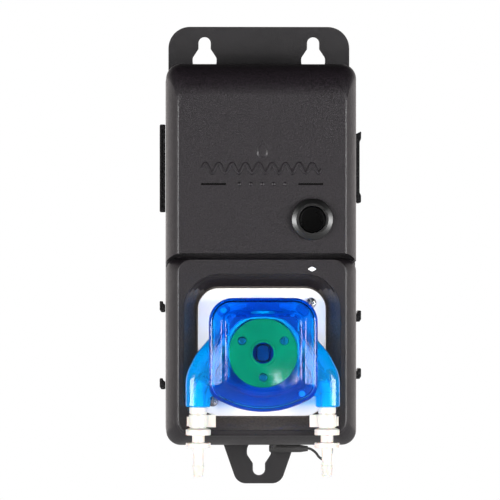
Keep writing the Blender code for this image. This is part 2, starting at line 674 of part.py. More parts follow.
def pump_housing():
    """The clear blue body: the race that the hose is pressed against, its corners cored out."""
    housing = prism("pump_housing", leg_outline(), LEG_BACK, HEAD_FRONT, "blue_housing")
    join(housing, prism("guide_head_block", head_outline(0), HEAD_BACK, LEG_BACK + 2 * MM))
    cut(housing, hole("ledge", LEDGE_RADIUS, HEAD_FRONT - 2 * MM, HEAD_FRONT + 2 * MM, 0, PUMP_Z, 40))
    cut(housing, hole("race", RACE_RADIUS, 52.2 * MM, HEAD_FRONT + MM, 0, PUMP_Z, 48))
    cut(housing, hole("housing_shaft_hole", 5 * MM, 47 * MM, 54 * MM, 0, PUMP_Z, 24))
    cut(housing, *hose_channels())
    for side in (-1, 1):
        pocket = [(7.5, -22.4, 0.5), (7.5, -40, 0.5), (23.2, -37, 0.5), (23.2, -22.4, 7.5)]
        corners = [(side * x * MM, z * MM, radius * MM) for x, z, radius in pocket]
        cutter = prism(f"cutter_pocket_{side + 1}", rounded(corners, 3), LEG_BACK, HEAD_FRONT + MM)
        cut(cutter, hole(f"pocket_core_{side + 1}", 22.9 * MM, 50 * MM, 72 * MM, 0, PUMP_Z, 40))
        cut(cutter, hole(f"pocket_post_{side + 1}", 3.2 * MM, 50 * MM, 72 * MM, side * 18.7 * MM, -25.9 * MM))
        cut(housing, cutter)
    for number, (x, z) in enumerate(base_screw_places(), 1):
        cut(housing, hole(f"screw_relief_{number}", 3.4 * MM, 47 * MM, 52 * MM, x, z, 16))
    for number, (x, z) in enumerate(cover_post_places(), 1):
        cut(housing, hole(f"post_socket_{number}", 1.95 * MM, 59 * MM, 72 * MM, x, z))


# Pump cover -------------------------------------------------------------------------------------
def cover_post_places():
    return [(-18.7 * MM, -25.9 * MM), (18.3 * MM, -65.1 * MM)]


def pump_cover():
    """A shallow clear cap with a raised middle that clears the rotor."""
    step = [
        (HEAD_FRONT + GAP, 0), (71.2 * MM, 0.1 * MM), (72.4 * MM, 0.7 * MM), (73.1 * MM, 1.8 * MM),
        (73.5 * MM, 3.6 * MM), (73.7 * MM, 6.2 * MM), (74.2 * MM, 7.3 * MM), (75.1 * MM, 8.0 * MM),
        (75.7 * MM, 8.9 * MM), (COVER_FRONT, 10.6 * MM),
    ]
    grow = COVER_HALF - HEAD_HALF
    outer = [at_depth(head_outline(grow - inset), depth) for depth, inset in reversed(step)]
    inner = [at_depth(head_outline(grow - COVER_WALL), step[0][0])]
    for depth, inset in step[2::2] + [step[-1]]:
        inner.append(at_depth(head_outline(grow - inset - COVER_WALL * 0.9), depth - COVER_WALL * 0.9))
    loft("pump_cover", outer + inner, "blue_cover")
    for number, (x, z) in enumerate(cover_post_places(), 1):
        front = 70.2 * MM
        profile = [(1.2 * MM, 60 * MM), (1.65 * MM, 60.8 * MM), (1.65 * MM, front)]
        turned(f"cover_post_{number}", profile, "blue_housing", x, z, SMALL_STEPS)


def head_outline(grow):
    """The pump head seen from the front, grown or shrunk: a square whose lower edge bows out."""
    half = HEAD_HALF + grow
    share = half / HEAD_HALF
    low = HEAD_LOW - grow * 0.8
    corner = max(HEAD_CORNER + grow, 3 * MM)
    low_corner = max(7 * MM + grow, 3 * MM)
    right = [(half, low, low_corner), (half, -20.8 * MM + grow, corner)]
    bottom = (0, low - HEAD_BOW * share, HEAD_BOW_RADIUS * share)
    return rounded([bottom] + mirrored(right))


# Rotor ------------------------------------------------------------------------------------------
def roller_places():
    angles = [math.radians(angle) for angle in ROLLER_ANGLES]
    return [(ROLLER_ORBIT * math.cos(a), PUMP_Z + ROLLER_ORBIT * math.sin(a)) for a in angles]


def rotor():
    """Two discs on a hub, which carry three free rollers on pins."""
    centre = {"z": PUMP_Z}
    front = [(5.0, 66.3), (5.0, 69.3), (6.2, 69.3), (6.2, 68.7), (15.9, 68.7), (16.3, 68.3), (16.3, 66.3)]
    front_disc = turned("rotor_front_disc", millimetres(front), "rotor_green", steps=32, endless=True, **centre)
    rear = [(4.2, 53.2), (4.2, 55.8), (16.0, 55.8), (16.0, 53.2)]
    rear_disc = turned("rotor_rear_disc", millimetres(rear), "rotor_green", steps=24, endless=True, **centre)
    hub = [(6.3, 56.1), (6.3, 66.0)]
    hub_piece = turned("rotor_hub", millimetres(hub), "hub_blue", steps=20, **centre)
    slot = panel(SHAFT_FLAT + GAP, PUMP_Z - 4.2 * MM, PUMP_Z + 4.2 * MM, MM, MM, 3)
    cut(hub_piece, prism("cutter_hub_slot", slot, 55 * MM, 68 * MM))
    for number, (x, z) in enumerate(roller_places(), 1):
        for disc in (front_disc, rear_disc):
            cut(disc, hole(f"{disc.name}_pin_{number}", PIN_RADIUS + GAP, 50 * MM, 72 * MM, x, z))
        roller = [(4.1, 56.3), (4.5, 56.7), (4.5, 65.5), (4.1, 65.9), (2.1, 65.9), (2.1, 56.3)]
        turned(f"roller_{number}", millimetres(roller), "roller_white", x, z, 20, endless=True)
        pin = [(1.5, 53.4), (1.8, 53.7), (1.8, 68.8), (1.5, 69.1)]
        turned(f"roller_pin_{number}", millimetres(pin), "steel", x, z, SMALL_STEPS)


def output_shaft():
    """The shaft from the gearbox to the rotor, with two flats where the hub grips it."""
    profile = [(3.6, 33.4), (3.9, 33.7), (3.9, 68.0), (3.6, 68.3)]
    shaft = turned("output_shaft", millimetres(profile), "steel", 0, PUMP_Z, 24)
    for side in (-1, 1):
        x_range = sorted((side * SHAFT_FLAT, side * 6 * MM))
        flat = block(f"cutter_flat_{side + 1}", x_range, (55.9 * MM, 72 * MM),
                     (PUMP_Z - 6 * MM, PUMP_Z + 6 * MM))
        cut(shaft, flat)


# Gearbox and motor ------------------------------------------------------------------------------
GEAR_BACK = 35.2 * MM
GEAR_FRONT = 38.6 * MM


def gear_outline(teeth, centre_z, first_tooth):
    """An involute spur gear; first_tooth is the angle of one tooth's middle."""
    pitch = GEAR_MODULE * teeth / 2
    base = pitch * math.cos(PRESSURE_ANGLE)
    tip = pitch + 0.88 * GEAR_MODULE
    root = pitch - 1.15 * GEAR_MODULE
    half_tooth = math.pi / (2 * teeth) - BACKLASH / (2 * pitch) + involute(PRESSURE_ANGLE)
    flank = [root, pitch, tip]
    outline = []
    for tooth in range(teeth):
        middle = first_tooth + math.tau * tooth / teeth
        for side, radii in ((-1, flank), (1, flank[::-1])):
            for radius in radii:
                turn = half_tooth - involute(math.acos(min(base / radius, 1)))
                angle = middle + side * turn
                outline.append(Vector((radius * math.cos(angle), centre_z + radius * math.sin(angle))))
    return outline


def involute(angle):
    return math.tan(angle) - angle


def gears():
    """The pinion on the motor's shaft drives the large gear on the output shaft."""
    wheel = gear_outline(GEAR_TEETH, PUMP_Z, math.pi / 2)
    output = prism("output_gear", wheel, GEAR_BACK, GEAR_FRONT, "gear_plastic")
    cut(output, hole("gear_bore", SHAFT_RADIUS + GAP / 2, 30 * MM, 45 * MM, 0, PUMP_Z, 24))
    small = gear_outline(PINION_TEETH, MOTOR_Z, -math.pi / 2 + math.pi / PINION_TEETH)
    pinion = prism("drive_pinion", small, GEAR_BACK, GEAR_FRONT, "brass")
    cut(pinion, hole("pinion_bore", 1.7 * MM, 30 * MM, 45 * MM, 0, MOTOR_Z))


def gearbox_outline(shrink=0.0):
    right = [
        (21 * MM - shrink, -67 * MM + shrink, 14 * MM - shrink),
        (21 * MM - shrink, -38 * MM, 8 * MM),
        (11 * MM - shrink, -9.5 * MM - shrink, 6 * MM),
    ]
    return rounded(mirrored(right), 4)


def gearbox():
    wall = 1.6 * MM
    rings = [
        at_depth(gearbox_outline(), 31.3 * MM),
        at_depth(gearbox_outline(), 39.9 * MM),
        at_depth(gearbox_outline(wall), 39.9 * MM),
        at_depth(gearbox_outline(wall), 32.9 * MM),
    ]
    case = loft("gearbox_case", rings, "gear_plastic")
    cut(case, hole("motor_shaft_hole", 2.2 * MM, 30 * MM, 35 * MM, 0, MOTOR_Z))
    lid = prism("gearbox_lid", gearbox_outline(), 40.2 * MM, 42.5 * MM, "gear_plastic")
    cut(lid, hole("lid_hole", 6.1 * MM, 38 * MM, 45 * MM, 0, PUMP_Z, 24))
    front = [(4.2, 39.2), (5.8, 39.2), (5.8, 42.8), (7.4, 42.8), (7.4, 44.0), (4.2, 44.0)]
    turned("shaft_bush_front", millimetres(front), "brass", 0, PUMP_Z, 16, endless=True)
    rear = [(4.2, 33.2), (6.2, 33.2), (6.2, 34.9), (4.2, 34.9)]
    turned("shaft_bush_rear", millimetres(rear), "brass", 0, PUMP_Z, 16, endless=True)


def motor():
    can = [(6.0, 5.0), (12.9, 5.0), (13.5, 5.8), (13.5, 30.2), (12.9, 31.0), (1.9, 31.0), (1.9, 28.0)]
    turned("motor", millimetres(can), "steel", 0, MOTOR_Z, 20)
    shaft = [(1.5, 28.3), (1.5, 39.2)]
    turned("motor_shaft", millimetres(shaft), "steel", 0, MOTOR_Z, SMALL_STEPS)


# Hose fittings ----------------------------------------------------------------------------------
def hose_fittings():
    """The two outlet fittings: spigot, collar, two flanges and a barbed end, bored right through."""
    outside = [
        (1.6, -65.5), (1.6, -71.7), (4.2, -71.7), (4.2, -74.6), (3.7, -74.9), (3.7, -81.5), (5.9, -82.2),
        (5.9, -84.9), (2.95, -84.9), (2.95, -88.4), (5.9, -88.5), (5.9, -90.8), (2.5, -90.9),
        (2.5, -99.2), (2.8, -99.6), (2.2, -104.6),
    ]
    bore = [(1.0, -104.6), (1.0, -65.5)]
    for name, x, outwards in (("left", -HOSE_X, -1), ("right", HOSE_X, 1)):
        upright(f"hose_fitting_{name}", millimetres(outside + bore), "fitting_white", x, HOSE_DEPTH,
                16, endless=True)
        ring = [(4.0, -75.2), (4.5, -75.4), (4.5, -81.0), (4.0, -81.2)]
        clip = upright(f"hose_clip_{name}", millimetres(ring), "fitting_white", x, HOSE_DEPTH, 16,
                       endless=True)
        tab = sorted((x - outwards * 4.2 * MM, x - outwards * 8.2 * MM))
        ear = sorted((x + outwards * 4.2 * MM, x + outwards * 5.4 * MM))
        deep = (HOSE_DEPTH - 1.4 * MM, HOSE_DEPTH + 1.4 * MM)
        join(clip, block(f"guide_tab_{name}", tab, deep, (-81.1 * MM, -75.3 * MM)))
        join(clip, block(f"guide_ear_{name}", ear, deep, (-80.6 * MM, -76.2 * MM)))


# Electronics and lead ---------------------------------------------------------------------------
def control_board():
    """The board on its standoffs, with its terminal block, relay and capacitor."""
    back = 10.3 * MM
    front = back + 1.6 * MM
    board = block("control_board", (-31 * MM, 31 * MM), (back, front), (28 * MM, 84 * MM), "board_green")
    for number, (x, z) in enumerate(BOARD_SCREWS, 1):
        cut(board, hole(f"board_hole_{number}", 1.5 * MM, 8 * MM, 15 * MM, x, z))
        profile = [(1.1, 7.0), (1.1, 12.2), (2.6, 12.2), (2.6, 13.4), (2.0, 13.9)]
        turned(f"board_screw_{number}", millimetres(profile), "steel", x, z, SMALL_STEPS)
    on_board = front + GAP
    soften(block("terminal_block", (-14 * MM, 12 * MM), (on_board, on_board + 10 * MM),
                 (31 * MM, 39 * MM), "board_green"), 0.5 * MM)
    soften(block("relay", (6 * MM, 22 * MM), (on_board, on_board + 14 * MM),
                 (48 * MM, 67 * MM), "rubber_black"), 0.6 * MM)
    turned("capacitor", [(5 * MM, on_board), (5 * MM, on_board + 14 * MM)], "rubber_black",
           -12 * MM, 60 * MM, 16)


def lead_route():
    """Points of the thin lead, from inside its boot, down in a short loop and up into the casing."""
    chosen = [
        (8.0, -93.6), (13.0, -93.6), (18.5, -93.6), (24.0, -93.6), (27.0, -95.4), (29.0, -97.9),
        (31.8, -99.3), (34.3, -97.5), (35.0, -94.0), (35.0, -89.6),
    ]
    return [Vector((x * MM, -LEAD_DEPTH, z * MM)) for x, z in chosen]


def smooth_curve(points, steps):
    """A smooth curve through the points, as straight runs."""
    ends = [points[0] * 2 - points[1], *points, points[-1] * 2 - points[-2]]
    curve = []
    for a, b, c, d in zip(ends, ends[1:], ends[2:], ends[3:]):
        for step in range(steps):
            t = step / steps
            curve.append(0.5 * (2 * b + (c - a) * t + (2 * a - 5 * b + 4 * c - d) * t ** 2
                                + (3 * b - a - 3 * c + d) * t ** 3))
    return curve + [points[-1]]


def lead():
    points = smooth_curve(lead_route(), 3)
    curve = bpy.data.curves.new("lead", "CURVE")
    curve.dimensions = "3D"
    curve.bevel_depth = LEAD_RADIUS
    curve.bevel_resolution = 2
    curve.use_fill_caps = True
    spline = curve.splines.new("POLY")
    spline.points.add(len(points) - 1)
    for target, point in zip(spline.points, points):
        target.co = (*point, 1)
    obj = bpy.data.objects.new("lead", curve)
    bpy.context.scene.collection.objects.link(obj)
    curve.materials.append(finish_material("rubber_black"))


def lead_boot():
    """A rubber elbow that comes down through the casing and turns along it, and a small grommet."""
    length = [(4.6, 1.2), (5.2, 1.8), (19.6, 1.8), (23.4, 1.25)]
    rings = []
    for x, radius in length:
        ring = circle(radius * MM, -LEAD_DEPTH, LEAD_EXIT_Z, SMALL_STEPS)
        rings.append([Vector((x * MM, point.x, point.y)) for point in ring])
    boot = loft("lead_boot", rings, "rubber_black")
    stub = [(1.9 * MM, LEAD_EXIT_Z), (1.9 * MM, CASE_BOTTOM + 3 * MM)]
    join(boot, upright("guide_boot_stub", stub, None, BOOT_X, LEAD_DEPTH, SMALL_STEPS))
    bore = circle(0.95 * MM, -LEAD_DEPTH, LEAD_EXIT_Z, SMALL_STEPS)
    cut(boot, loft("cutter_boot_bore", [
        [Vector((x * MM, point.x, point.y)) for point in bore] for x in (7.6, 27)
    ]))
    grommet = [(0.95, -92.2), (2.6, -92.2), (2.6, -90.95), (1.9, -90.95), (1.9, -87.9), (0.95, -87.9)]
    upright("lead_grommet", millimetres(grommet), "rubber_black", GROMMET_X, LEAD_DEPTH, SMALL_STEPS,
            endless=True)


# Entry ------------------------------------------------------------------------------------------
def clear_scene():
    for obj in list(bpy.data.objects):
        bpy.data.objects.remove(obj, do_unlink=True)


def build():
    clear_scene()
    back_plate()
    plate_screws()
    back_housing()
    upper_cover()
    lower_cover()
    casing_gasket()
    indicator_lens()
    side_pieces()
    push_button()
    pump_base_plate()
    pump_housing()
    pump_cover()
    peristaltic_hose()
    rotor()
    output_shaft()
    gears()
    gearbox()
    motor()
    hose_fittings()
    control_board()
    lead()
    lead_boot()


build()
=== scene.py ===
"""The looks of a wall-mounted peristaltic dosing pump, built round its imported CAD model.

Frame: the wall face lies on Y = 0, the pump faces -Y, +X is right and +Z is up, in metres.
Depth below means the distance in front of the wall, so a point at depth d has Y = -d.
"""

import json
import math

import bmesh
import bpy
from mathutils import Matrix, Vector


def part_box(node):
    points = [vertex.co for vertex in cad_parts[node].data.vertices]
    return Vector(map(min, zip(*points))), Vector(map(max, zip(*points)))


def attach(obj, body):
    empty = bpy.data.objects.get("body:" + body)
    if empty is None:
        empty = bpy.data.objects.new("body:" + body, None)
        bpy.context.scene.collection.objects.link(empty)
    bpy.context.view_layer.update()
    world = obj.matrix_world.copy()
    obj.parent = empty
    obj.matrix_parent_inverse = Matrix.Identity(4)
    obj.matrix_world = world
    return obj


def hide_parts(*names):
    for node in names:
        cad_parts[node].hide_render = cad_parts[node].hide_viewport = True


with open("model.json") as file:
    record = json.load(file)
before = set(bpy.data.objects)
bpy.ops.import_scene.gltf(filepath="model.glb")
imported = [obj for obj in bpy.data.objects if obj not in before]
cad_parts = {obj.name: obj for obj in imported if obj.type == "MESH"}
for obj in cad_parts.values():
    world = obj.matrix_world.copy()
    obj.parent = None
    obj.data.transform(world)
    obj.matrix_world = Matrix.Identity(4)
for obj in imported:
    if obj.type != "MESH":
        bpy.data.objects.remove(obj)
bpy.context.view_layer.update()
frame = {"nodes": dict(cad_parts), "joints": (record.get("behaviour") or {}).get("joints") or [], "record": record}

MM = 0.001
NODES = frame["nodes"]
BODY_OF = {node: body for body, nodes in frame["record"]["behaviour"]["bodies"].items() for node in nodes}
SLOT_OF = {part["node"]: part["material_slot"] for part in frame["record"]["subparts"]}
PUMP_AXIS = Vector(next(j["pos_m"] for j in frame["joints"] if j["name"] == "rotor_spin"))
PUMP_Z = PUMP_AXIS.z
GLOW_FRONT = 0.22  # brightness of the surroundings in front of the part
GLOW_BEHIND = 2.1  # and behind it
GLOW_ABOVE = 0.03  # how much of that is left overhead
LAMPS = [  # name, place, width and height, power
    ("left_light", (-1.42, -1.15, -0.36), (1.5, 1.1), 100.0),
    ("right_light", (1.42, -1.15, -0.36), (1.5, 1.1), 100.0),
    ("low_light", (-0.1, -1.6, -0.9), (0.7, 0.3), 30.0),
    ("glint_light_1", (0.041, -1.076, -0.089), (0.004, 0.004), 0.003),
    ("glint_light_2", (0.056, -1.076, -0.089), (0.004, 0.004), 0.003),
    ("left_card", (-0.31, -1.07, -0.082), (0.30, 0.03), 0.32),
    ("right_card", (0.37, -1.07, -0.082), (0.30, 0.03), 0.32),
]
FLOOR_HEIGHT = -0.21
FLOOR_RADIUS = 1.2
CORNER_STEPS = 12
TURN_STEPS = 96


# Camera, light and stage ------------------------------------------------------------------------
def camera():
    data = bpy.data.cameras.new("camera")
    data.sensor_width = 36
    data.lens = 303.2
    eye = Vector((-0.0616, -2.049, 0.0025))
    target = Vector((-0.00568, -0.050, 0.0025))
    made = bpy.data.objects.new("camera", data)
    made.location = eye
    made.rotation_euler = (target - eye).to_track_quat("-Z", "Y").to_euler()
    bpy.context.scene.collection.objects.link(made)
    bpy.context.scene.camera = made


def soft_light(name, place, size, power):
    """A flat lamp that faces the middle of the part."""
    data = bpy.data.lights.new(name, "AREA")
    data.shape = "RECTANGLE"
    data.size, data.size_y = size
    data.energy = power
    made = bpy.data.objects.new(name, data)
    made.location = place
    made.rotation_euler = (Vector((0, -0.05, 0)) - Vector(place)).to_track_quat("-Z", "Y").to_euler()
    bpy.context.scene.collection.objects.link(made)


def studio():
    """Soft surroundings, brightest behind the part and dark overhead, and the lamps.

    What the camera sees of the surroundings is plain white.
    """
    world = bpy.data.worlds.new("studio")
    bpy.context.scene.world = world
    world.use_nodes = True
    tree = world.node_tree
    background = tree.nodes["Background"]
    place = tree.nodes.new("ShaderNodeTexCoord")
    split = tree.nodes.new("ShaderNodeSeparateXYZ")
    tree.links.new(place.outputs["Generated"], split.inputs["Vector"])

    def graded(axis, low, high, at_low, at_high):
        made = tree.nodes.new("ShaderNodeMapRange")
        made.inputs["From Min"].default_value = low
        made.inputs["From Max"].default_value = high
        made.inputs["To Min"].default_value = at_low
        made.inputs["To Max"].default_value = at_high
        tree.links.new(split.outputs[axis], made.inputs["Value"])
        return made.outputs["Result"]

    glow = tree.nodes.new("ShaderNodeMath")
    glow.operation = "MULTIPLY"
    tree.links.new(graded("Y", 0.5, 1.0, GLOW_FRONT, GLOW_BEHIND), glow.inputs[0])
    tree.links.new(graded("Z", -0.1, 0.5, 1.0, GLOW_ABOVE), glow.inputs[1])
    rays = tree.nodes.new("ShaderNodeLightPath")
    strength = tree.nodes.new("ShaderNodeMix")
    strength.inputs["B"].default_value = 1.0
    tree.links.new(rays.outputs["Is Camera Ray"], strength.inputs["Factor"])
    tree.links.new(glow.outputs["Value"], strength.inputs["A"])
    tree.links.new(strength.outputs["Result"], background.inputs["Strength"])
    hue = tree.nodes.new("ShaderNodeMix")
    hue.data_type = "RGBA"
    hue.inputs["A"].default_value = (1.0, 0.95, 0.93, 1)
    hue.inputs["B"].default_value = (1, 1, 1, 1)
    tree.links.new(rays.outputs["Is Camera Ray"], hue.inputs["Factor"])
    tree.links.new(hue.outputs["Result"], background.inputs["Color"])
    for lamp in LAMPS:
        soft_light(*lamp)
    bpy.context.scene.view_settings.view_transform = "Standard"


def stage_floor():
    """A round floor below the part, which gives off a little light so that it stays pale."""
    builder = bmesh.new()
    bmesh.ops.create_circle(builder, cap_ends=True, segments=96, radius=FLOOR_RADIUS)
    bmesh.ops.translate(builder, verts=builder.verts, vec=(0, 0, FLOOR_HEIGHT))
    mesh = bpy.data.meshes.new("floor")
    builder.to_mesh(mesh)
    builder.free()
    floor = bpy.data.objects.new("floor", mesh)
    bpy.context.scene.collection.objects.link(floor)
    pale = surface("floor_pale", (0.92, 0.92, 0.92), 0.9, (3.0, 0.002), tone=0.01,
                   Emission_Color=(1, 1, 1, 1), Emission_Strength=0.35)
    mesh.materials.append(pale)


# Materials --------------------------------------------------------------------------------------
def surface(name, colour, roughness, grain, tone=0.12, rough_spread=0.08, cloud=14.0, stretch=(1, 1, 1),
            speckle=0.0, tint=None, lets_light=None, **sockets):
    """A moulded, cast or drawn surface: cloudy tone and roughness, and a fine grain in its relief.

    grain is (size, depth) in millimetres, cloud the size of the tone's patches in millimetres,
    stretch how much longer the grain runs along each axis, and speckle the grain's share in the tone.
    tint is the (colour, density per metre) a clear material takes from what shines through it, and
    lets_light the colour each of its surfaces gives the lamps' light on its way in.
    """
    material = bpy.data.materials.new(name)
    material.use_nodes = True
    tree = material.node_tree
    shader = tree.nodes["Principled BSDF"]
    for socket, value in sockets.items():
        shader.inputs[socket.replace("_", " ")].default_value = value
    place = tree.nodes.new("ShaderNodeTexCoord")
    mapping = tree.nodes.new("ShaderNodeMapping")
    mapping.inputs["Scale"].default_value = [1 / amount for amount in stretch]
    tree.links.new(place.outputs["Object"], mapping.inputs["Vector"])

    def noise(size, detail):
        made = tree.nodes.new("ShaderNodeTexNoise")
        made.inputs["Scale"].default_value = 1 / (size * MM)
        made.inputs["Detail"].default_value = detail
        tree.links.new(mapping.outputs["Vector"], made.inputs["Vector"])
        return made.outputs["Fac"]

    fine = noise(grain[0], 2)
    shade = tree.nodes.new("ShaderNodeMix")
    shade.inputs["Factor"].default_value = speckle
    tree.links.new(noise(cloud, 3), shade.inputs["A"])
    tree.links.new(fine, shade.inputs["B"])
    ramp = tree.nodes.new("ShaderNodeValToRGB")
    ramp.color_ramp.elements[0].position = 0.3
    ramp.color_ramp.elements[1].position = 0.7
    ramp.color_ramp.elements[0].color = (*[channel * (1 - tone) for channel in colour], 1)
    ramp.color_ramp.elements[1].color = (*[min(channel * (1 + tone), 1) for channel in colour], 1)
    tree.links.new(shade.outputs["Result"], ramp.inputs["Fac"])
    tree.links.new(ramp.outputs["Color"], shader.inputs["Base Color"])
    spread = tree.nodes.new("ShaderNodeMapRange")
    spread.inputs["To Min"].default_value = max(roughness - rough_spread, 0.01)
    spread.inputs["To Max"].default_value = min(roughness + rough_spread, 1)
    tree.links.new(noise(cloud / 4, 4), spread.inputs["Value"])
    tree.links.new(spread.outputs["Result"], shader.inputs["Roughness"])
    if tint:
        absorb = tree.nodes.new("ShaderNodeVolumeAbsorption")
        absorb.inputs["Color"].default_value = (*tint[0], 1)
        absorb.inputs["Density"].default_value = tint[1]
        tree.links.new(absorb.outputs["Volume"], tree.nodes["Material Output"].inputs["Volume"])
    if lets_light:
        through = tree.nodes.new("ShaderNodeBsdfTransparent")
        through.inputs["Color"].default_value = (*lets_light, 1)
        rays = tree.nodes.new("ShaderNodeLightPath")
        either = tree.nodes.new("ShaderNodeMixShader")
        tree.links.new(rays.outputs["Is Shadow Ray"], either.inputs["Fac"])
        tree.links.new(shader.outputs["BSDF"], either.inputs[1])
        tree.links.new(through.outputs["BSDF"], either.inputs[2])
        tree.links.new(either.outputs["Shader"], tree.nodes["Material Output"].inputs["Surface"])
    bump = tree.nodes.new("ShaderNodeBump")
    bump.inputs["Distance"].default_value = grain[1] * MM
    tree.links.new(fine, bump.inputs["Height"])
    tree.links.new(bump.outputs["Normal"], shader.inputs["Normal"])
    return material


def make_finishes():
    """One material per slot of the record, and a few for places that look unlike the rest of their slot.

    Those are for the bay's walls, the bezel, the cap, the floors of the sunk bars, the legs, the posts and the
    shaft. The bay's walls get painted light, a lighter grey-brown than the casing; the floors of the sunk bars get
    painted shade, a flat black; the legs get painted light, a lighter and milkier blue than the housing.
    """
    clear = {"IOR": 1.2, "Coat_Weight": 0.3, "Coat_Roughness": 0.03}
    return {
        "casing_black": surface("casing_black", (0.0082, 0.0060, 0.0080), 0.42, (0.70, 0.12), tone=0.80,
                                cloud=9.0, speckle=1.0, Specular_IOR_Level=0.45),
        "plate_black": surface("plate_black", (0.013, 0.012, 0.013), 0.42, (0.5, 0.05), tone=0.08,
                               Specular_IOR_Level=0.35),
        "gloss_black": surface("gloss_black", (0.007, 0.007, 0.008), 0.25, (0.9, 0.01),
                               Specular_IOR_Level=0.4),
        # Painted light: the bay's walls take a lighter grey-brown than casing_black, for the light they catch from
        # the white base plate.
        "bay_painted_light": surface("bay_painted_light", (0.065, 0.055, 0.050), 0.42, (0.80, 0.12),
                             tone=0.4, speckle=0.8),
        "bezel_black": surface("bezel_black", (0.003, 0.003, 0.003), 0.33, (0.9, 0.01),
                               Specular_IOR_Level=0.6),
        "cap_black": surface("cap_black", (0.001, 0.001, 0.001), 0.3, (0.9, 0.01),
                             Specular_IOR_Level=0.07),
        # Painted shade: flat black floors for the two sunk bars, standing in for the shade deep in them.
        "groove_painted_shade": surface("groove_painted_shade", (0.002, 0.002, 0.002), 0.9, (0.9, 0.01),
                                Specular_IOR_Level=0.1),
        "white_plastic": surface("white_plastic", (0.96, 0.90, 0.84), 0.38, (0.6, 0.01), tone=0.02),
        "blue_housing": surface("blue_housing", (0.10, 0.62, 0.92), 0.08, (2.5, 0.01), rough_spread=0.03,
                                tone=0.03,
                                tint=((0.0, 0.905, 0.96), 700.0), lets_light=(0.6, 0.88, 0.99),
                                Transmission_Weight=0.94, **clear),
        # Painted light: a lighter, milkier copy of blue_housing for the legs, standing in for the light that comes
        # through them; the legs are part of the same housing.
        "blue_leg_painted_light": surface("blue_leg_painted_light", (0.0, 0.46, 0.90), 0.14, (2.5, 0.002), rough_spread=0.03,
                            tone=0.03,
                            tint=((0.0, 0.90, 0.97), 260.0), lets_light=(0.6, 0.88, 0.99),
                            Transmission_Weight=0.70, IOR=1.3, Coat_Weight=0.3, Coat_Roughness=0.05),
        "blue_cover": surface("blue_cover", (0.12, 0.68, 0.94), 0.06, (4.0, 0.001), rough_spread=0.02,
                              tone=0.03,
                              tint=((0.0, 0.88, 0.97), 900.0), lets_light=(0.2, 0.75, 0.98),
                              Transmission_Weight=1.0, **clear),
        "blue_post": surface("blue_post", (0.10, 0.42, 0.75), 0.3, (1.0, 0.01)),
        "hub_blue": surface("hub_blue", (0.01, 0.05, 0.42), 0.3, (0.7, 0.01)),
        "rotor_green": surface("rotor_green", (0.04, 0.36, 0.06), 0.38, (0.7, 0.02)),
        "roller_white": surface("roller_white", (0.80, 0.80, 0.78), 0.35, (0.7, 0.01)),
        "hose_clear": surface("hose_clear", (0.96, 0.96, 0.94), 0.3, (1.2, 0.01), Transmission_Weight=0.1),
        "fitting_white": surface("fitting_white", (0.68, 0.64, 0.59), 0.35, (0.8, 0.01), tone=0.04,
                                 Subsurface_Weight=0.25, Subsurface_Scale=0.003),
        "steel": surface("steel", (0.62, 0.61, 0.60), 0.26, (0.12, 0.004),
                         stretch=(1, 1, 6), Metallic=1.0),
        "shaft_steel": surface("shaft_steel", (0.04, 0.05, 0.12), 0.4, (0.12, 0.004), Metallic=0.5),
        "brass": surface("brass", (0.75, 0.55, 0.22), 0.3, (0.12, 0.004),
                         stretch=(1, 8, 1), Metallic=1.0),
        "gear_plastic": surface("gear_plastic", (0.75, 0.73, 0.66), 0.45, (0.6, 0.01)),
        "board_green": surface("board_green", (0.02, 0.16, 0.06), 0.4, (0.3, 0.01), tone=0.2),
        "rubber_black": surface("rubber_black", (0.022, 0.021, 0.021), 0.72, (0.3, 0.02), tone=0.2),
        "lens_white": surface("lens_white", (0.85, 0.85, 0.85), 0.25, (0.8, 0.01)),
    }


# Outlines and solids ----------------------------------------------------------------------------
def rounded(corners, steps=CORNER_STEPS):
    """A closed outline through corners (x, z, radius), with an arc in place of each corner."""
    outline = []
    for index, (x, z, radius) in enumerate(corners):
        here = Vector((x, z))
        if radius == 0:
            outline.append(here)
            continue
        following = corners[(index + 1) % len(corners)]
        before = (Vector(corners[index - 1][:2]) - here).normalized()
        after = (Vector(following[:2]) - here).normalized()
        half = before.angle(after) / 2
        centre = here + (before + after).normalized() * (radius / math.sin(half))
        start = here + before * (radius / math.tan(half)) - centre
        end = here + after * (radius / math.tan(half)) - centre
        first = math.atan2(start.y, start.x)
        sweep = (math.atan2(end.y, end.x) - first + math.pi) % math.tau - math.pi
        for step in range(steps + 1):
            angle = first + sweep * step / steps
            outline.append(centre + Vector((math.cos(angle), math.sin(angle))) * radius)
    return outline


def mirrored(corners):
    return list(corners) + [(-x, z, radius) for x, z, radius in reversed(corners)]


def panel(half_width, bottom, top, bottom_corner, top_corner, steps=CORNER_STEPS):
    return rounded(mirrored([(half_width, bottom, bottom_corner), (half_width, top, top_corner)]), steps)


def circle(radius, x=0.0, z=0.0, steps=TURN_STEPS):
    angles = [math.tau * (step + 0.5) / steps for step in range(steps)]
    return [Vector((x + radius * math.cos(a), z + radius * math.sin(a))) for a in angles]


def at_depth(outline, depth):
    return [Vector((point.x, -depth, point.y)) for point in outline]


def at_height(outline, height):
    return [Vector((point.x, point.y, height)) for point in outline]


def millimetres(profile):
    return [(a * MM, b * MM) for a, b in profile]


def middle_of(node):
    """The x and z of a CAD node's middle."""
    low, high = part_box(node)
    return (low.x + high.x) / 2, (low.z + high.z) / 2


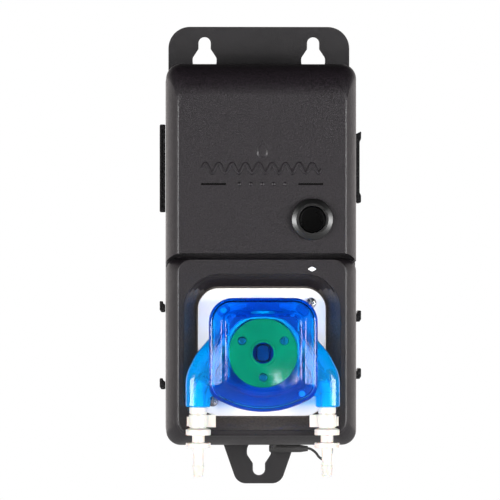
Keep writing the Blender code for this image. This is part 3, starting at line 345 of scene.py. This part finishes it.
def smooth_curve(points, steps):
    """A smooth curve through the points, as straight runs."""
    ends = [points[0] * 2 - points[1], *points, points[-1] * 2 - points[-2]]
    curve = []
    for a, b, c, d in zip(ends, ends[1:], ends[2:], ends[3:]):
        for step in range(steps):
            t = step / steps
            curve.append(0.5 * (2 * b + (c - a) * t + (2 * a - 5 * b + 4 * c - d) * t ** 2
                                + (3 * b - a - 3 * c + d) * t ** 3))
    return curve + [points[-1]]


def add_piece(name, builder, sharp=40):
    bmesh.ops.recalc_face_normals(builder, faces=builder.faces)
    mesh = bpy.data.meshes.new(name)
    builder.to_mesh(mesh)
    builder.free()
    mesh.shade_smooth()
    mesh.set_sharp_from_angle(angle=math.radians(sharp))
    piece = bpy.data.objects.new(name, mesh)
    bpy.context.scene.collection.objects.link(piece)
    return piece


def loft(name, rings, endless=False, sharp=40):
    """A solid through rings of equally many points, capped at both ends or joined end to end."""
    builder = bmesh.new()
    loops = [[builder.verts.new(point) for point in ring] for ring in rings]
    pairs = list(zip(loops, loops[1:]))
    if endless:
        pairs.append((loops[-1], loops[0]))
    else:
        builder.faces.new(loops[0])
        builder.faces.new(loops[-1])
    for low, high in pairs:
        for index in range(len(low)):
            after = (index + 1) % len(low)
            builder.faces.new((low[index], low[after], high[after], high[index]))
    return add_piece(name, builder, sharp)


def prism(name, outline, back, front):
    return loft(name, [at_depth(outline, back), at_depth(outline, front)])


def strip(name, one_side, other_side, back, front):
    """A long band with sloping sides between two lines of equally many points, as a row of quads."""
    rings = []
    for a, b in zip(one_side, other_side):
        crest_a, crest_b = a.lerp(b, 0.3), a.lerp(b, 0.7)
        rings.append([Vector((a.x, -back, a.y)), Vector((crest_a.x, -front, crest_a.y)),
                      Vector((crest_b.x, -front, crest_b.y)), Vector((b.x, -back, b.y))])
    return loft(name, rings, sharp=20)


def turned(name, profile, x=0.0, z=0.0, steps=TURN_STEPS, endless=False):
    """A solid turned about an axis along Y; profile lists (radius, depth)."""
    return loft(name, [at_depth(circle(radius, x, z, steps), depth) for radius, depth in profile], endless)


def upright(name, profile, x=0.0, depth=0.0, steps=TURN_STEPS, endless=False):
    """A solid turned about a vertical axis; profile lists (radius, height)."""
    rings = [at_height(circle(radius, x, -depth, steps), height) for radius, height in profile]
    return loft(name, rings, endless)


def apply_boolean(piece, tool, operation="DIFFERENCE"):
    """Cuts or joins for good, and removes the tool."""
    modifier = piece.modifiers.new("shape", "BOOLEAN")
    modifier.operation = operation
    modifier.solver = "EXACT"
    modifier.object = tool
    graph = bpy.context.evaluated_depsgraph_get()
    shaped = bpy.data.meshes.new_from_object(piece.evaluated_get(graph))
    piece.modifiers.clear()
    piece.data = shaped
    bpy.data.objects.remove(tool)
    return piece


def cut(piece, *tools):
    for tool in tools:
        apply_boolean(piece, tool)
    return piece


def hole(radius, back, front, x=0.0, z=0.0, steps=48):
    return turned("tool", [(radius, back), (radius, front)], x, z, steps)


def ease(piece, width, segments=3, angle=40):
    """Rounds the sharp edges, and keeps the flats flat in the shading."""
    bevel = piece.modifiers.new("eased_edges", "BEVEL")
    bevel.width = width
    bevel.segments = segments
    bevel.limit_method = "ANGLE"
    bevel.angle_limit = math.radians(angle)
    weighted = piece.modifiers.new("even_shading", "WEIGHTED_NORMAL")
    weighted.keep_sharp = True
    for edge in piece.data.edges:
        edge.use_edge_sharp = False
    return piece


def stand_for(piece, node):
    """Puts a finer piece in the place of a CAD node."""
    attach(piece, BODY_OF[node])
    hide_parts(node)
    piece.data.materials.clear()
    piece.data.materials.append(FINISHES[SLOT_OF[node]])
    if piece.type == "MESH" and not piece.modifiers:
        weighted = piece.modifiers.new("even_shading", "WEIGHTED_NORMAL")
        weighted.keep_sharp = True
    return piece


# Casing -----------------------------------------------------------------------------------------
CASE_HALF = 45.4 * MM
CASE_TOP = 91.3 * MM
CASE_BOTTOM = -90.6 * MM
CASE_CORNER = 7.0 * MM
SEAM = 30.3 * MM
SLOPE_START = 38.0 * MM
FACE = 54.0 * MM
SIDE_SLOPE = 5.5 * MM
TOP_SLOPE = 15.6 * MM
FILLET = 1.1 * MM
WALL = 2.2 * MM
SPLIT_TOP = 1.0 * MM
SPLIT_BOTTOM = -1.6 * MM


def side_inset(depth):
    share = max(depth - SLOPE_START, 0) / (FACE - SLOPE_START)
    return SIDE_SLOPE * share ** 1.6


def cover_profile():
    """(depth, side inset, top inset) from the seam to the face, with a small fillet at the face."""
    depths = [SLOPE_START + (FACE - FILLET - SLOPE_START) * step / 20 for step in range(21)]
    profile = [(SEAM, 0.5 * MM, 0.5 * MM), (SEAM + 0.2 * MM, 0.15 * MM, 0.15 * MM), (SEAM + 0.5 * MM, 0, 0)]
    profile += [(depth, side_inset(depth)) for depth in depths]
    last = side_inset(FACE - FILLET)
    for step in range(1, 7):
        turn = math.radians(90) * step / 6
        profile.append((FACE - FILLET * (1 - math.sin(turn)), last + FILLET * (1 - math.cos(turn)) * 1.1))
    return [entry if len(entry) == 3 else (*entry, top_inset(entry[0])) for entry in profile]


def top_inset(depth):
    share = min(max(depth - SLOPE_START, 0) / (FACE - SLOPE_START), 1)
    return TOP_SLOPE * (1 - math.sqrt(1 - share * share))


def shell(name, outer_ring, inner_ring):
    profile = cover_profile()
    outer = [outer_ring(*entry) for entry in reversed(profile)]
    inner = [inner_ring(SEAM, WALL + 0.5 * MM, WALL + 0.5 * MM)]
    for depth, side, top in profile[3::4]:
        if depth - WALL > SEAM + 1 * MM:
            inner.append(inner_ring(depth - WALL, side + WALL, top + WALL))
    return loft(name, outer + inner)


def upper_cover():
    """The upper cover, with the button's hole, two sunk bars and a notch over the lower cover."""
    def outer_ring(depth, side, top):
        return at_depth(panel(CASE_HALF - side, -4.5 * MM, CASE_TOP - top, 1 * MM, CASE_CORNER), depth)

    def inner_ring(depth, side, top):
        outline = panel(CASE_HALF - side, SPLIT_TOP + WALL, CASE_TOP - top, 4 * MM, 5 * MM)
        return at_depth(outline, depth)

    cover = shell("upper_cover_skin", outer_ring, inner_ring)
    notch = panel(47 * MM, -12 * MM, SPLIT_TOP, 0.5 * MM, 9 * MM)
    cut(cover, prism("tool", notch, SEAM - 5 * MM, FACE + 5 * MM))
    cut(cover, hole(8.0 * MM, FACE - 8 * MM, FACE + 3 * MM, *middle_of("button_bezel")))
    cut(cover, *casing_bars(FACE - 1.6 * MM, FACE + MM))
    stand_for(ease(cover, 0.25 * MM), "upper_cover")


def casing_bars(back, front):
    """The outlines of the two bars sunk into the upper cover, as solids between two depths."""
    bars = []
    for low, high in ((-29.0, -17.1), (17.1, 29.0)):
        corners = [(low, 33.25), (high, 33.25), (high, 34.25), (low, 34.25)]
        bar = rounded([(x * MM, z * MM, 0.3 * MM) for x, z in corners], 3)
        bars.append(prism("casing_bar_right" if low > 0 else "casing_bar_left", bar, back, front))
    return bars


def recess_ring(depth, half, corner, extra=0.0):
    outline = panel(half + extra, PUMP_Z - half - extra, PUMP_Z + half + extra, corner + extra,
                    corner + extra)
    return at_depth(outline, depth)


def lens_outline(grow):
    """The indicator's lens, a low diamond with rounded points."""
    low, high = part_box("indicator_lens")
    x, z = middle_of("indicator_lens")
    half, tall = (high.x - low.x) / 2 + grow, (high.z - low.z) / 2 + grow
    blunt, sharp = 0.7 * MM, 0.4 * MM
    corners = [(x + half, z, sharp), (x, z + tall, blunt), (x - half, z, sharp), (x, z - tall, blunt)]
    return rounded(corners, 6)


def lower_cover():
    """The lower cover, with the bay that the pump head stands in and the indicator's lens."""
    def outer_ring(depth, side, _top):
        outline = panel(CASE_HALF - side, CASE_BOTTOM + side, SPLIT_BOTTOM - side * 0.08,
                        CASE_CORNER, 6 * MM)
        return at_depth(outline, depth)

    def inner_ring(depth, side, _top):
        outline = panel(CASE_HALF - side, CASE_BOTTOM + side, SPLIT_BOTTOM - WALL, 5 * MM, 4 * MM)
        return at_depth(outline, depth)

    cover = shell("lower_cover_skin", outer_ring, inner_ring)
    floor, floor_half, floor_corner = 45.0 * MM, 31.2 * MM, 10.8 * MM
    mouth, mouth_corner = 37.3 * MM, 17.5 * MM
    bulge = 1 * MM
    middle = (mouth + floor_half) / 2 + bulge
    bay = [recess_ring(FACE + 3 * MM, mouth + 0.5 * MM, 18 * MM), recess_ring(FACE, mouth, mouth_corner)]
    for step in range(1, 8):
        share = step / 8
        half = mouth + (floor_half - mouth) * share + 4 * bulge * share * (1 - share)
        corner = mouth_corner + (floor_corner - mouth_corner) * share
        bay.append(recess_ring(FACE - (FACE - floor) * share, half, corner))
    bay.append(recess_ring(floor, floor_half, floor_corner))
    wall = [
        recess_ring(FACE - 0.7 * MM, mouth, mouth_corner, 1.6 * MM),
        recess_ring(FACE - 4 * MM, middle, 14.5 * MM, WALL),
        recess_ring(floor - WALL, floor_half, floor_corner, WALL - 1 * MM),
    ]
    apply_boolean(cover, loft("tool", wall), "UNION")
    cut(cover, loft("tool", bay))
    cut(cover, hole(9 * MM, floor - 5 * MM, FACE, 0, PUMP_Z))
    cut(cover, prism("tool", lens_outline(0.2 * MM), FACE - 0.8 * MM, FACE + 2 * MM))
    stand_for(ease(cover, 0.25 * MM), "lower_cover")
    # Painted light: the bay's walls that don't face down take a lighter grey-brown finish, as if lit by the white
    # base plate; the wall facing down keeps the casing's black.
    cover.data.materials.append(FINISHES["bay_painted_light"])
    for face in cover.data.polygons:
        in_mouth = max(abs(face.center.x), abs(face.center.z - PUMP_Z)) < mouth
        in_depth = floor - 0.5 * MM < -face.center.y < FACE - 1.5 * MM
        face.material_index = 1 if in_mouth and in_depth and face.normal.z > -0.5 else 0
    lens = prism("indicator_lens_fine", lens_outline(0), FACE - 1.5 * MM, FACE + 0.1 * MM)
    stand_for(ease(lens, 0.15 * MM, 2), "indicator_lens")


RELIEF = 0.5 * MM
WAVE_REACH = 28.5 * MM
WAVE_HEIGHT = 2.2 * MM
WAVE_COUNT = 9
WAVE_STEPS = 360
DROP_STEPS = 64


def casing_wave():
    """A raised wave line across the upper cover."""
    sides = ([], [])
    for step in range(WAVE_STEPS + 1):
        share = step / WAVE_STEPS
        angle = math.tau * WAVE_COUNT * share
        slope = WAVE_HEIGHT * math.cos(angle) * math.tau * WAVE_COUNT / (2 * WAVE_REACH)
        across = Vector((-slope, 1)).normalized() * 1.0 * MM
        point = Vector((-WAVE_REACH + 2 * WAVE_REACH * share, 41.2 * MM + WAVE_HEIGHT * math.sin(angle)))
        sides[0].append(point + across)
        sides[1].append(point - across)
    return strip("casing_wave", *sides, FACE - 0.1 * MM, FACE + RELIEF)


def casing_drop():
    """A raised drop above the wave line."""
    drop = []
    for step in range(DROP_STEPS):
        angle = math.tau * step / DROP_STEPS
        taper = math.sin(angle / 2) ** 1.5
        drop.append(Vector((3.6 * MM * math.sin(angle) * taper, 50.6 * MM + 4.6 * MM * math.cos(angle))))
    middle = Vector((0, 49.4 * MM))
    crest = [middle.lerp(point, 0.72) for point in drop]
    rings = [at_depth(drop, FACE - 0.1 * MM), at_depth(drop, FACE), at_depth(crest, FACE + RELIEF)]
    return loft("casing_drop", rings, sharp=20)


def casing_relief():
    """Plain marks on the upper cover: a wave line, a drop, five domes, and black floors in the two sunk bars that
    paint the shade in them.
    """
    pieces = [casing_wave(), casing_drop()]
    dome = millimetres([(1.0, 53.9), (0.9, 54.15), (0.7, 54.35), (0.4, 54.5), (0.15, 54.55)])
    for number in range(5):
        pieces.append(turned(f"casing_dome_{number + 1}", dome, (number - 2) * 5.4 * MM, 33.8 * MM, 32))
    # Black floors in the sunk bars: painted shade.
    shade_inlays = casing_bars(FACE - 1.6 * MM, FACE - 0.45 * MM)
    for piece in pieces + shade_inlays:
        piece.data.materials.append(FINISHES["groove_painted_shade" if piece in shade_inlays else "casing_black"])
        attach(piece, "casing")


# Push button ------------------------------------------------------------------------------------
def push_button():
    """The button's sloping bezel and its cap, both turned about the button's axis."""
    place = dict(zip("xz", middle_of("button_bezel")))
    bezel = [
        (9.5, 54.3), (9.85, 54.5), (9.85, 56.2), (9.75, 56.5), (9.55, 56.65), (7.75, 57.45), (7.55, 57.5),
        (6.5, 57.5), (6.35, 57.3), (6.35, 37.0), (7.7, 37.0), (7.7, 54.3),
    ]
    rim = stand_for(turned("button_bezel_fine", millimetres(bezel), endless=True, **place), "button_bezel")
    rim.data.materials[0] = FINISHES["bezel_black"]
    cap = [
        (0.6, 56.6), (5.0, 56.6), (5.5, 56.75), (5.75, 56.8), (5.95, 56.7), (6.05, 56.45), (6.05, 46.0),
        (4.4, 46.0), (4.4, 53.0),
    ]
    pad = stand_for(turned("button_cap_fine", millimetres(cap), **place), "button_cap")
    pad.data.materials[0] = FINISHES["cap_black"]


# Back plate and base plate ----------------------------------------------------------------------
PLATE_THICKNESS = 2.0 * MM
PLATE_HALF = 44.0 * MM
KEYHOLE_X = 26.4 * MM


def keyhole(x, centre_z, up):
    """A cutter for a round entry that narrows to a slot; up is 1 or -1."""
    corners = [
        (5.8 * MM, centre_z - up * 5.8 * MM, 5.7 * MM),
        (5.8 * MM, centre_z + up * 1.6 * MM, 2.5 * MM),
        (2.95 * MM, centre_z + up * 5.9 * MM, 1.2 * MM),
        (2.95 * MM, centre_z + up * 11.7 * MM, 2.9 * MM),
    ]
    outline = [Vector((x + point.x, point.y)) for point in rounded(mirrored(corners))]
    return prism("tool", outline, -2 * MM, PLATE_THICKNESS + 2 * MM)


def back_plate():
    """The wall plate: two keyholes above, one in the tab below, and seats for the four plate screws."""
    low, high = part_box("back_plate")
    side = [
        (4.6 * MM, low.z, 0),
        (10.6 * MM, low.z, 6.0 * MM),
        (17.9 * MM, -90.0 * MM, 0),
        (18.6 * MM, -88.0 * MM, 0),
        (PLATE_HALF, -88.0 * MM, 6.0 * MM),
        (PLATE_HALF, high.z, 10.5 * MM),
    ]
    plate = prism("back_plate_fine", rounded(mirrored(side)), 0, PLATE_THICKNESS)
    for x in (-KEYHOLE_X, KEYHOLE_X):
        cut(plate, keyhole(x, 94.3 * MM, 1))
    cut(plate, keyhole(0, -95.3 * MM, -1))
    for number in (1, 2, 3, 4):
        seat = millimetres([(4.2, -1), (3.4, 0), (2.0, 1.5), (2.0, 3)])
        cut(plate, turned("tool", seat, *middle_of(f"plate_screw_{number}"), 48))
    stand_for(ease(plate, 0.25 * MM), "back_plate")


def pump_base_plate():
    """The white plate under the pump head, with a small rounding along its front edge."""
    low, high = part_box("pump_base_plate")
    half = (high.x - low.x) / 2
    back, front = -high.y, -low.y
    rings = [recess_ring(back, half, 10 * MM)]
    for step in range(6):
        turn = math.radians(90) * step / 5
        inset = 0.6 * MM * (1 - math.cos(turn))
        depth = front - 0.6 * MM * (1 - math.sin(turn))
        rings.append(recess_ring(depth, half - inset, 10 * MM - inset))
    plate = loft("pump_base_plate_fine", rings)
    cut(plate, hole(9 * MM, back - MM, front + MM, 0, PUMP_Z))
    for number in (1, 2):
        cut(plate, hole(1.7 * MM, back - MM, front + MM, *middle_of(f"base_screw_{number}")))
    stand_for(plate, "pump_base_plate")


def base_screws():
    """Domed screw heads with a cross recess, which hold the pump head's base plate."""
    for name in ("base_screw_1", "base_screw_2"):
        x, z = middle_of(name)
        profile = [
            (1.6, 45.2), (1.6, 48.4), (2.6, 48.4), (2.7, 48.6), (2.5, 49.3), (1.8, 49.9), (0.8, 50.15),
        ]
        screw = turned(f"{name}_fine", millimetres(profile), x, z, 48)
        for length, width in ((1.6, 0.35), (0.35, 1.6)):
            slot = rounded([(x + a * length * MM, z + b * width * MM, 0.1 * MM)
                            for a, b in ((1, -1), (1, 1), (-1, 1), (-1, -1))], 2)
            cut(screw, prism("tool", slot, 49.2 * MM, 51 * MM))
        stand_for(screw, name)


# Pump head --------------------------------------------------------------------------------------
HEAD_BACK = 48.6 * MM
HEAD_FRONT = 68.0 * MM
HEAD_HALF = 24.8 * MM
HEAD_CORNER = 10.5 * MM
HEAD_LOW = -65.6 * MM
HEAD_BOW = 10.8 * MM
HEAD_BOW_RADIUS = 40 * MM
LEG_BACK = 54.0 * MM
LEG_BOTTOM = -71.4 * MM
POCKET_FLOOR = 50.8 * MM
COVER_FRONT = 76 * MM
HOSE_X = 30.4 * MM
HOSE_DEPTH = 61.0 * MM
HOSE_TRACK = 17.5 * MM


def head_outline(grow):
    """The pump head seen from the front, grown or shrunk: a square whose lower edge bows out."""
    half = HEAD_HALF + grow
    share = half / HEAD_HALF
    low = HEAD_LOW - grow * 0.8
    corner = max(HEAD_CORNER + grow, 3 * MM)
    low_corner = max(7 * MM + grow, 3 * MM)
    right = [(half, low, low_corner), (half, -20.8 * MM + grow, corner)]
    bottom = (0, low - HEAD_BOW * share, HEAD_BOW_RADIUS * share)
    return rounded([bottom] + mirrored(right))


def leg_ring(side, depth, inset):
    """One hose leg, flaring out of the body and then running straight down; inset rounds its outer edge."""
    corners = [
        (18.0, -66.4, 0),
        (24.9, -66.4, 0),
        (24.9, -71.4, 0.6),
        (36.4 - inset, -71.4, 0.6),
        (36.4 - inset, -56.5 - 0.24 * inset, 18),
        (31.5 - 0.87 * inset, -46.6 - 0.53 * inset, 26),
        (18.0 - 0.77 * inset, -30.5 - 0.64 * inset, 0),
    ]
    return at_depth(rounded([(side * x * MM, z * MM, radius * MM) for x, z, radius in corners]), depth)


def leg(side):
    """A leg of the pump housing with a broad rounding towards its outer edge."""
    rounding = 5.0
    front = 67.7
    rings = [leg_ring(side, LEG_BACK, 0.3), leg_ring(side, LEG_BACK + 0.3 * MM, 0)]
    for step in range(9):
        turn = math.radians(90) * step / 8
        depth = (front - rounding * (1 - math.sin(turn))) * MM
        rings.append(leg_ring(side, depth, rounding * (1 - math.cos(turn))))
    return loft("tool", rings)


def hose_path():
    """The hose's centre line from the left leg's end to where it meets the race."""
    leave = math.radians(150)
    meet = Vector((0, PUMP_Z)) + Vector((math.cos(leave), math.sin(leave))) * HOSE_TRACK
    outwards = Vector((-math.sin(leave), math.cos(leave)))
    knee = meet + outwards * ((-HOSE_X - meet.x) / outwards.x)
    return rounded([(-HOSE_X, LEG_BOTTOM - 4 * MM, 0), (knee.x, knee.y, 14 * MM), (meet.x, meet.y, 0)])


def channel(side):
    """A cutter for the hose's way through one leg; side is -1 or 1."""
    section = panel(3.5 * MM, -4.4 * MM, 4.4 * MM, 2.6 * MM, 2.6 * MM, 5)
    path = hose_path()
    rings = []
    for index, point in enumerate(path):
        heading = (path[min(index + 1, len(path) - 1)] - path[max(index - 1, 0)]).normalized()
        across = Vector((-heading.y, heading.x))
        rings.append([
            Vector((-side * (point.x + across.x * p.x), -HOSE_DEPTH - p.y, point.y + across.y * p.x))
            for p in section
        ])
    return loft("tool", rings)


def pump_housing():
    """The clear head with the race, a pocket and a leg on each side, and holes for screws and posts."""
    housing = prism("pump_housing_clear", head_outline(0), HEAD_BACK, HEAD_FRONT)
    for side in (-1, 1):
        apply_boolean(housing, leg(side), "UNION")
    cut(housing, hole(21.8 * MM, HEAD_FRONT - 2 * MM, HEAD_FRONT + 2 * MM, 0, PUMP_Z, 96))
    cut(housing, hole(18.9 * MM, 52.2 * MM, HEAD_FRONT + MM, 0, PUMP_Z, 96))
    cut(housing, hole(5 * MM, 47 * MM, 54 * MM, 0, PUMP_Z))
    for side in (-1, 1):
        cut(housing, channel(side))
        pocket = [(7.5, -22.4, 0.5), (7.5, -40, 0.5), (23.2, -37, 0.5), (23.2, -22.4, 7.5)]
        corners = [(side * x * MM, z * MM, radius * MM) for x, z, radius in pocket]
        tool = prism("tool_pocket", rounded(corners, 6), POCKET_FLOOR, HEAD_FRONT + MM)
        cut(tool, hole(22.9 * MM, 50 * MM, 72 * MM, 0, PUMP_Z, 96))
        cut(tool, hole(3.2 * MM, 50 * MM, 72 * MM, side * 18.7 * MM, -25.9 * MM))
        cut(housing, tool)
    for name in ("base_screw_1", "base_screw_2"):
        cut(housing, hole(3.4 * MM, 47 * MM, 52 * MM, *middle_of(name)))
    for name in ("cover_post_1", "cover_post_2"):
        cut(housing, hole(1.95 * MM, 59 * MM, 72 * MM, *middle_of(name)))
    stand_for(ease(housing, 0.2 * MM), "pump_housing")
    # Painted light: the legs take a lighter, milkier blue than the body of the same housing, for the light that
    # comes through them.
    housing.data.materials.append(FINISHES["blue_leg_painted_light"])
    for face in housing.data.polygons:
        face.material_index = 1 if abs(face.center.x) > HEAD_HALF + 0.02 * MM else 0


def cover_posts():
    """The two pegs that locate the cover, seen through it as pale discs."""
    for name in ("cover_post_1", "cover_post_2"):
        low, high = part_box(name)
        profile = [(1.3 * MM, -high.y), (1.5 * MM, -high.y + 0.3 * MM), (1.5 * MM, -low.y - 0.3 * MM),
                   (1.3 * MM, -low.y)]
        post = turned(f"{name}_fine", profile, *middle_of(name), 48)
        stand_for(post, name)
        post.data.materials[0] = FINISHES["blue_post"]


def pump_cover():
    """The clear cover, a thin shell that steps in towards a raised front."""
    wall = 1.35 * MM
    step = [Vector(pair) * MM for pair in (
        (68.3, 0.1), (68.6, 0), (70.6, 0), (71.5, 0.15), (72.3, 0.5), (72.9, 1.3),
        (73.22, 3.3), (73.55, 5.4), (74.0, 6.2), (75.1, 7.1), (75.75, 7.7), (76.0, 8.7),
    )]
    profile = smooth_curve(step, 3)
    grow = 0.8 * MM
    outer = [
        at_depth(head_outline(grow - inset), min(depth, COVER_FRONT)) for depth, inset in reversed(profile)
    ]
    inner = [at_depth(head_outline(grow - 1.5 * MM), 68.3 * MM)]
    inner += [at_depth(head_outline(grow - inset - wall), depth - wall) for depth, inset in profile[8:]]
    stand_for(loft("pump_cover_clear", outer + inner, sharp=60), "pump_cover")


# Rotor and fittings -----------------------------------------------------------------------------
def rotor():
    """The rotor's front disc with the three pins and rollers that it carries."""
    front = [(5.0, 66.3), (5.0, 69.1), (5.2, 69.3), (6.0, 69.3), (6.2, 69.1), (6.2, 68.7), (15.9, 68.7),
             (16.2, 68.6), (16.3, 68.3), (16.3, 66.3)]
    disc = turned("rotor_front_disc_fine", millimetres(front), z=PUMP_Z, endless=True)
    for number in (1, 2, 3):
        pin_at = middle_of(f"roller_pin_{number}")
        cut(disc, hole(2.1 * MM, 50 * MM, 72 * MM, *pin_at))
        pin = [(1.4, 53.4), (1.8, 53.7), (1.8, 68.7), (1.6, 69.0), (1.2, 69.1)]
        fine_pin = turned(f"roller_pin_{number}_fine", millimetres(pin), *pin_at, 48)
        stand_for(fine_pin, f"roller_pin_{number}")
        roller = [(4.1, 56.3), (4.4, 56.4), (4.5, 56.7), (4.5, 65.5), (4.4, 65.8), (4.1, 65.9), (2.1, 65.9),
                  (2.1, 56.3)]
        roller_at = middle_of(f"roller_{number}")
        fine = turned(f"roller_{number}_fine", millimetres(roller), *roller_at, 64, endless=True)
        stand_for(fine, f"roller_{number}")
    stand_for(ease(disc, 0.15 * MM, 2), "rotor_front_disc")


def hose_fittings():
    """The two barbed outlets, each with a nut and two collars, turned about an upright axis."""
    outside = [
        (1.6, -65.5), (1.6, -71.7), (4.0, -71.7), (4.2, -71.9), (4.2, -74.6), (3.7, -74.9), (3.7, -81.5),
        (5.6, -82.1), (5.9, -82.4), (5.9, -84.7), (5.7, -84.9), (3.2, -84.9), (2.95, -85.2),
        (2.95, -88.1), (3.2, -88.5), (5.7, -88.5), (5.9, -88.7), (5.9, -90.6), (5.7, -90.85), (2.7, -90.9),
        (2.5, -91.1), (2.5, -99.2), (2.65, -99.3), (2.8, -99.6), (2.75, -100.0), (2.25, -104.4),
        (2.15, -104.6), (1.0, -104.6), (1.0, -65.5),
    ]
    for side, x in (("left", -HOSE_X), ("right", HOSE_X)):
        node = f"hose_fitting_{side}"
        stand_for(upright(node + "_fine", millimetres(outside), x, HOSE_DEPTH, 64, endless=True), node)


# Lead -------------------------------------------------------------------------------------------
LEAD_POINTS = [
    (8.0, -93.6), (13.0, -93.6), (18.5, -93.6), (24.0, -93.6), (27.0, -95.4), (29.0, -97.9),
    (31.8, -99.3), (34.3, -97.5), (35.0, -94.0), (35.0, -89.6),
]


def lead():
    """The thin wire that leaves the boot under the casing, loops down and goes back in."""
    points = smooth_curve([Vector((x * MM, -12 * MM, z * MM)) for x, z in LEAD_POINTS], 4)
    length = sum((b - a).length for a, b in zip(points, points[1:]))
    curve = bpy.data.curves.new("lead_wire", "CURVE")
    curve.dimensions = "3D"
    curve.bevel_depth = 1.0  # times each point's radius, which also sets the curve's bounds
    curve.bevel_resolution = 6
    curve.use_fill_caps = True
    spline = curve.splines.new("POLY")
    spline.points.add(len(points) - 1)
    spline.use_smooth = True
    for target, point in zip(spline.points, points):
        target.co = (*point, 1)
        target.radius = 0.6 * MM
    wire = bpy.data.objects.new("lead_wire", curve)
    bpy.context.scene.collection.objects.link(wire)
    tuple(points[0])
    stand_for(wire, "lead")


# Everything -------------------------------------------------------------------------------------
def dress_cad_nodes():
    """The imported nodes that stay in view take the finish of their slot."""
    for name, node in NODES.items():
        node.data.materials.clear()
        node.data.materials.append(FINISHES[SLOT_OF[name]])
    NODES["output_shaft"].data.materials[0] = FINISHES["shaft_steel"]


camera()
FINISHES = make_finishes()
studio()
stage_floor()
lead()
dress_cad_nodes()
upper_cover()
lower_cover()
casing_relief()
push_button()
back_plate()
pump_base_plate()
base_screws()
pump_housing()
cover_posts()
pump_cover()
rotor()
hose_fittings()
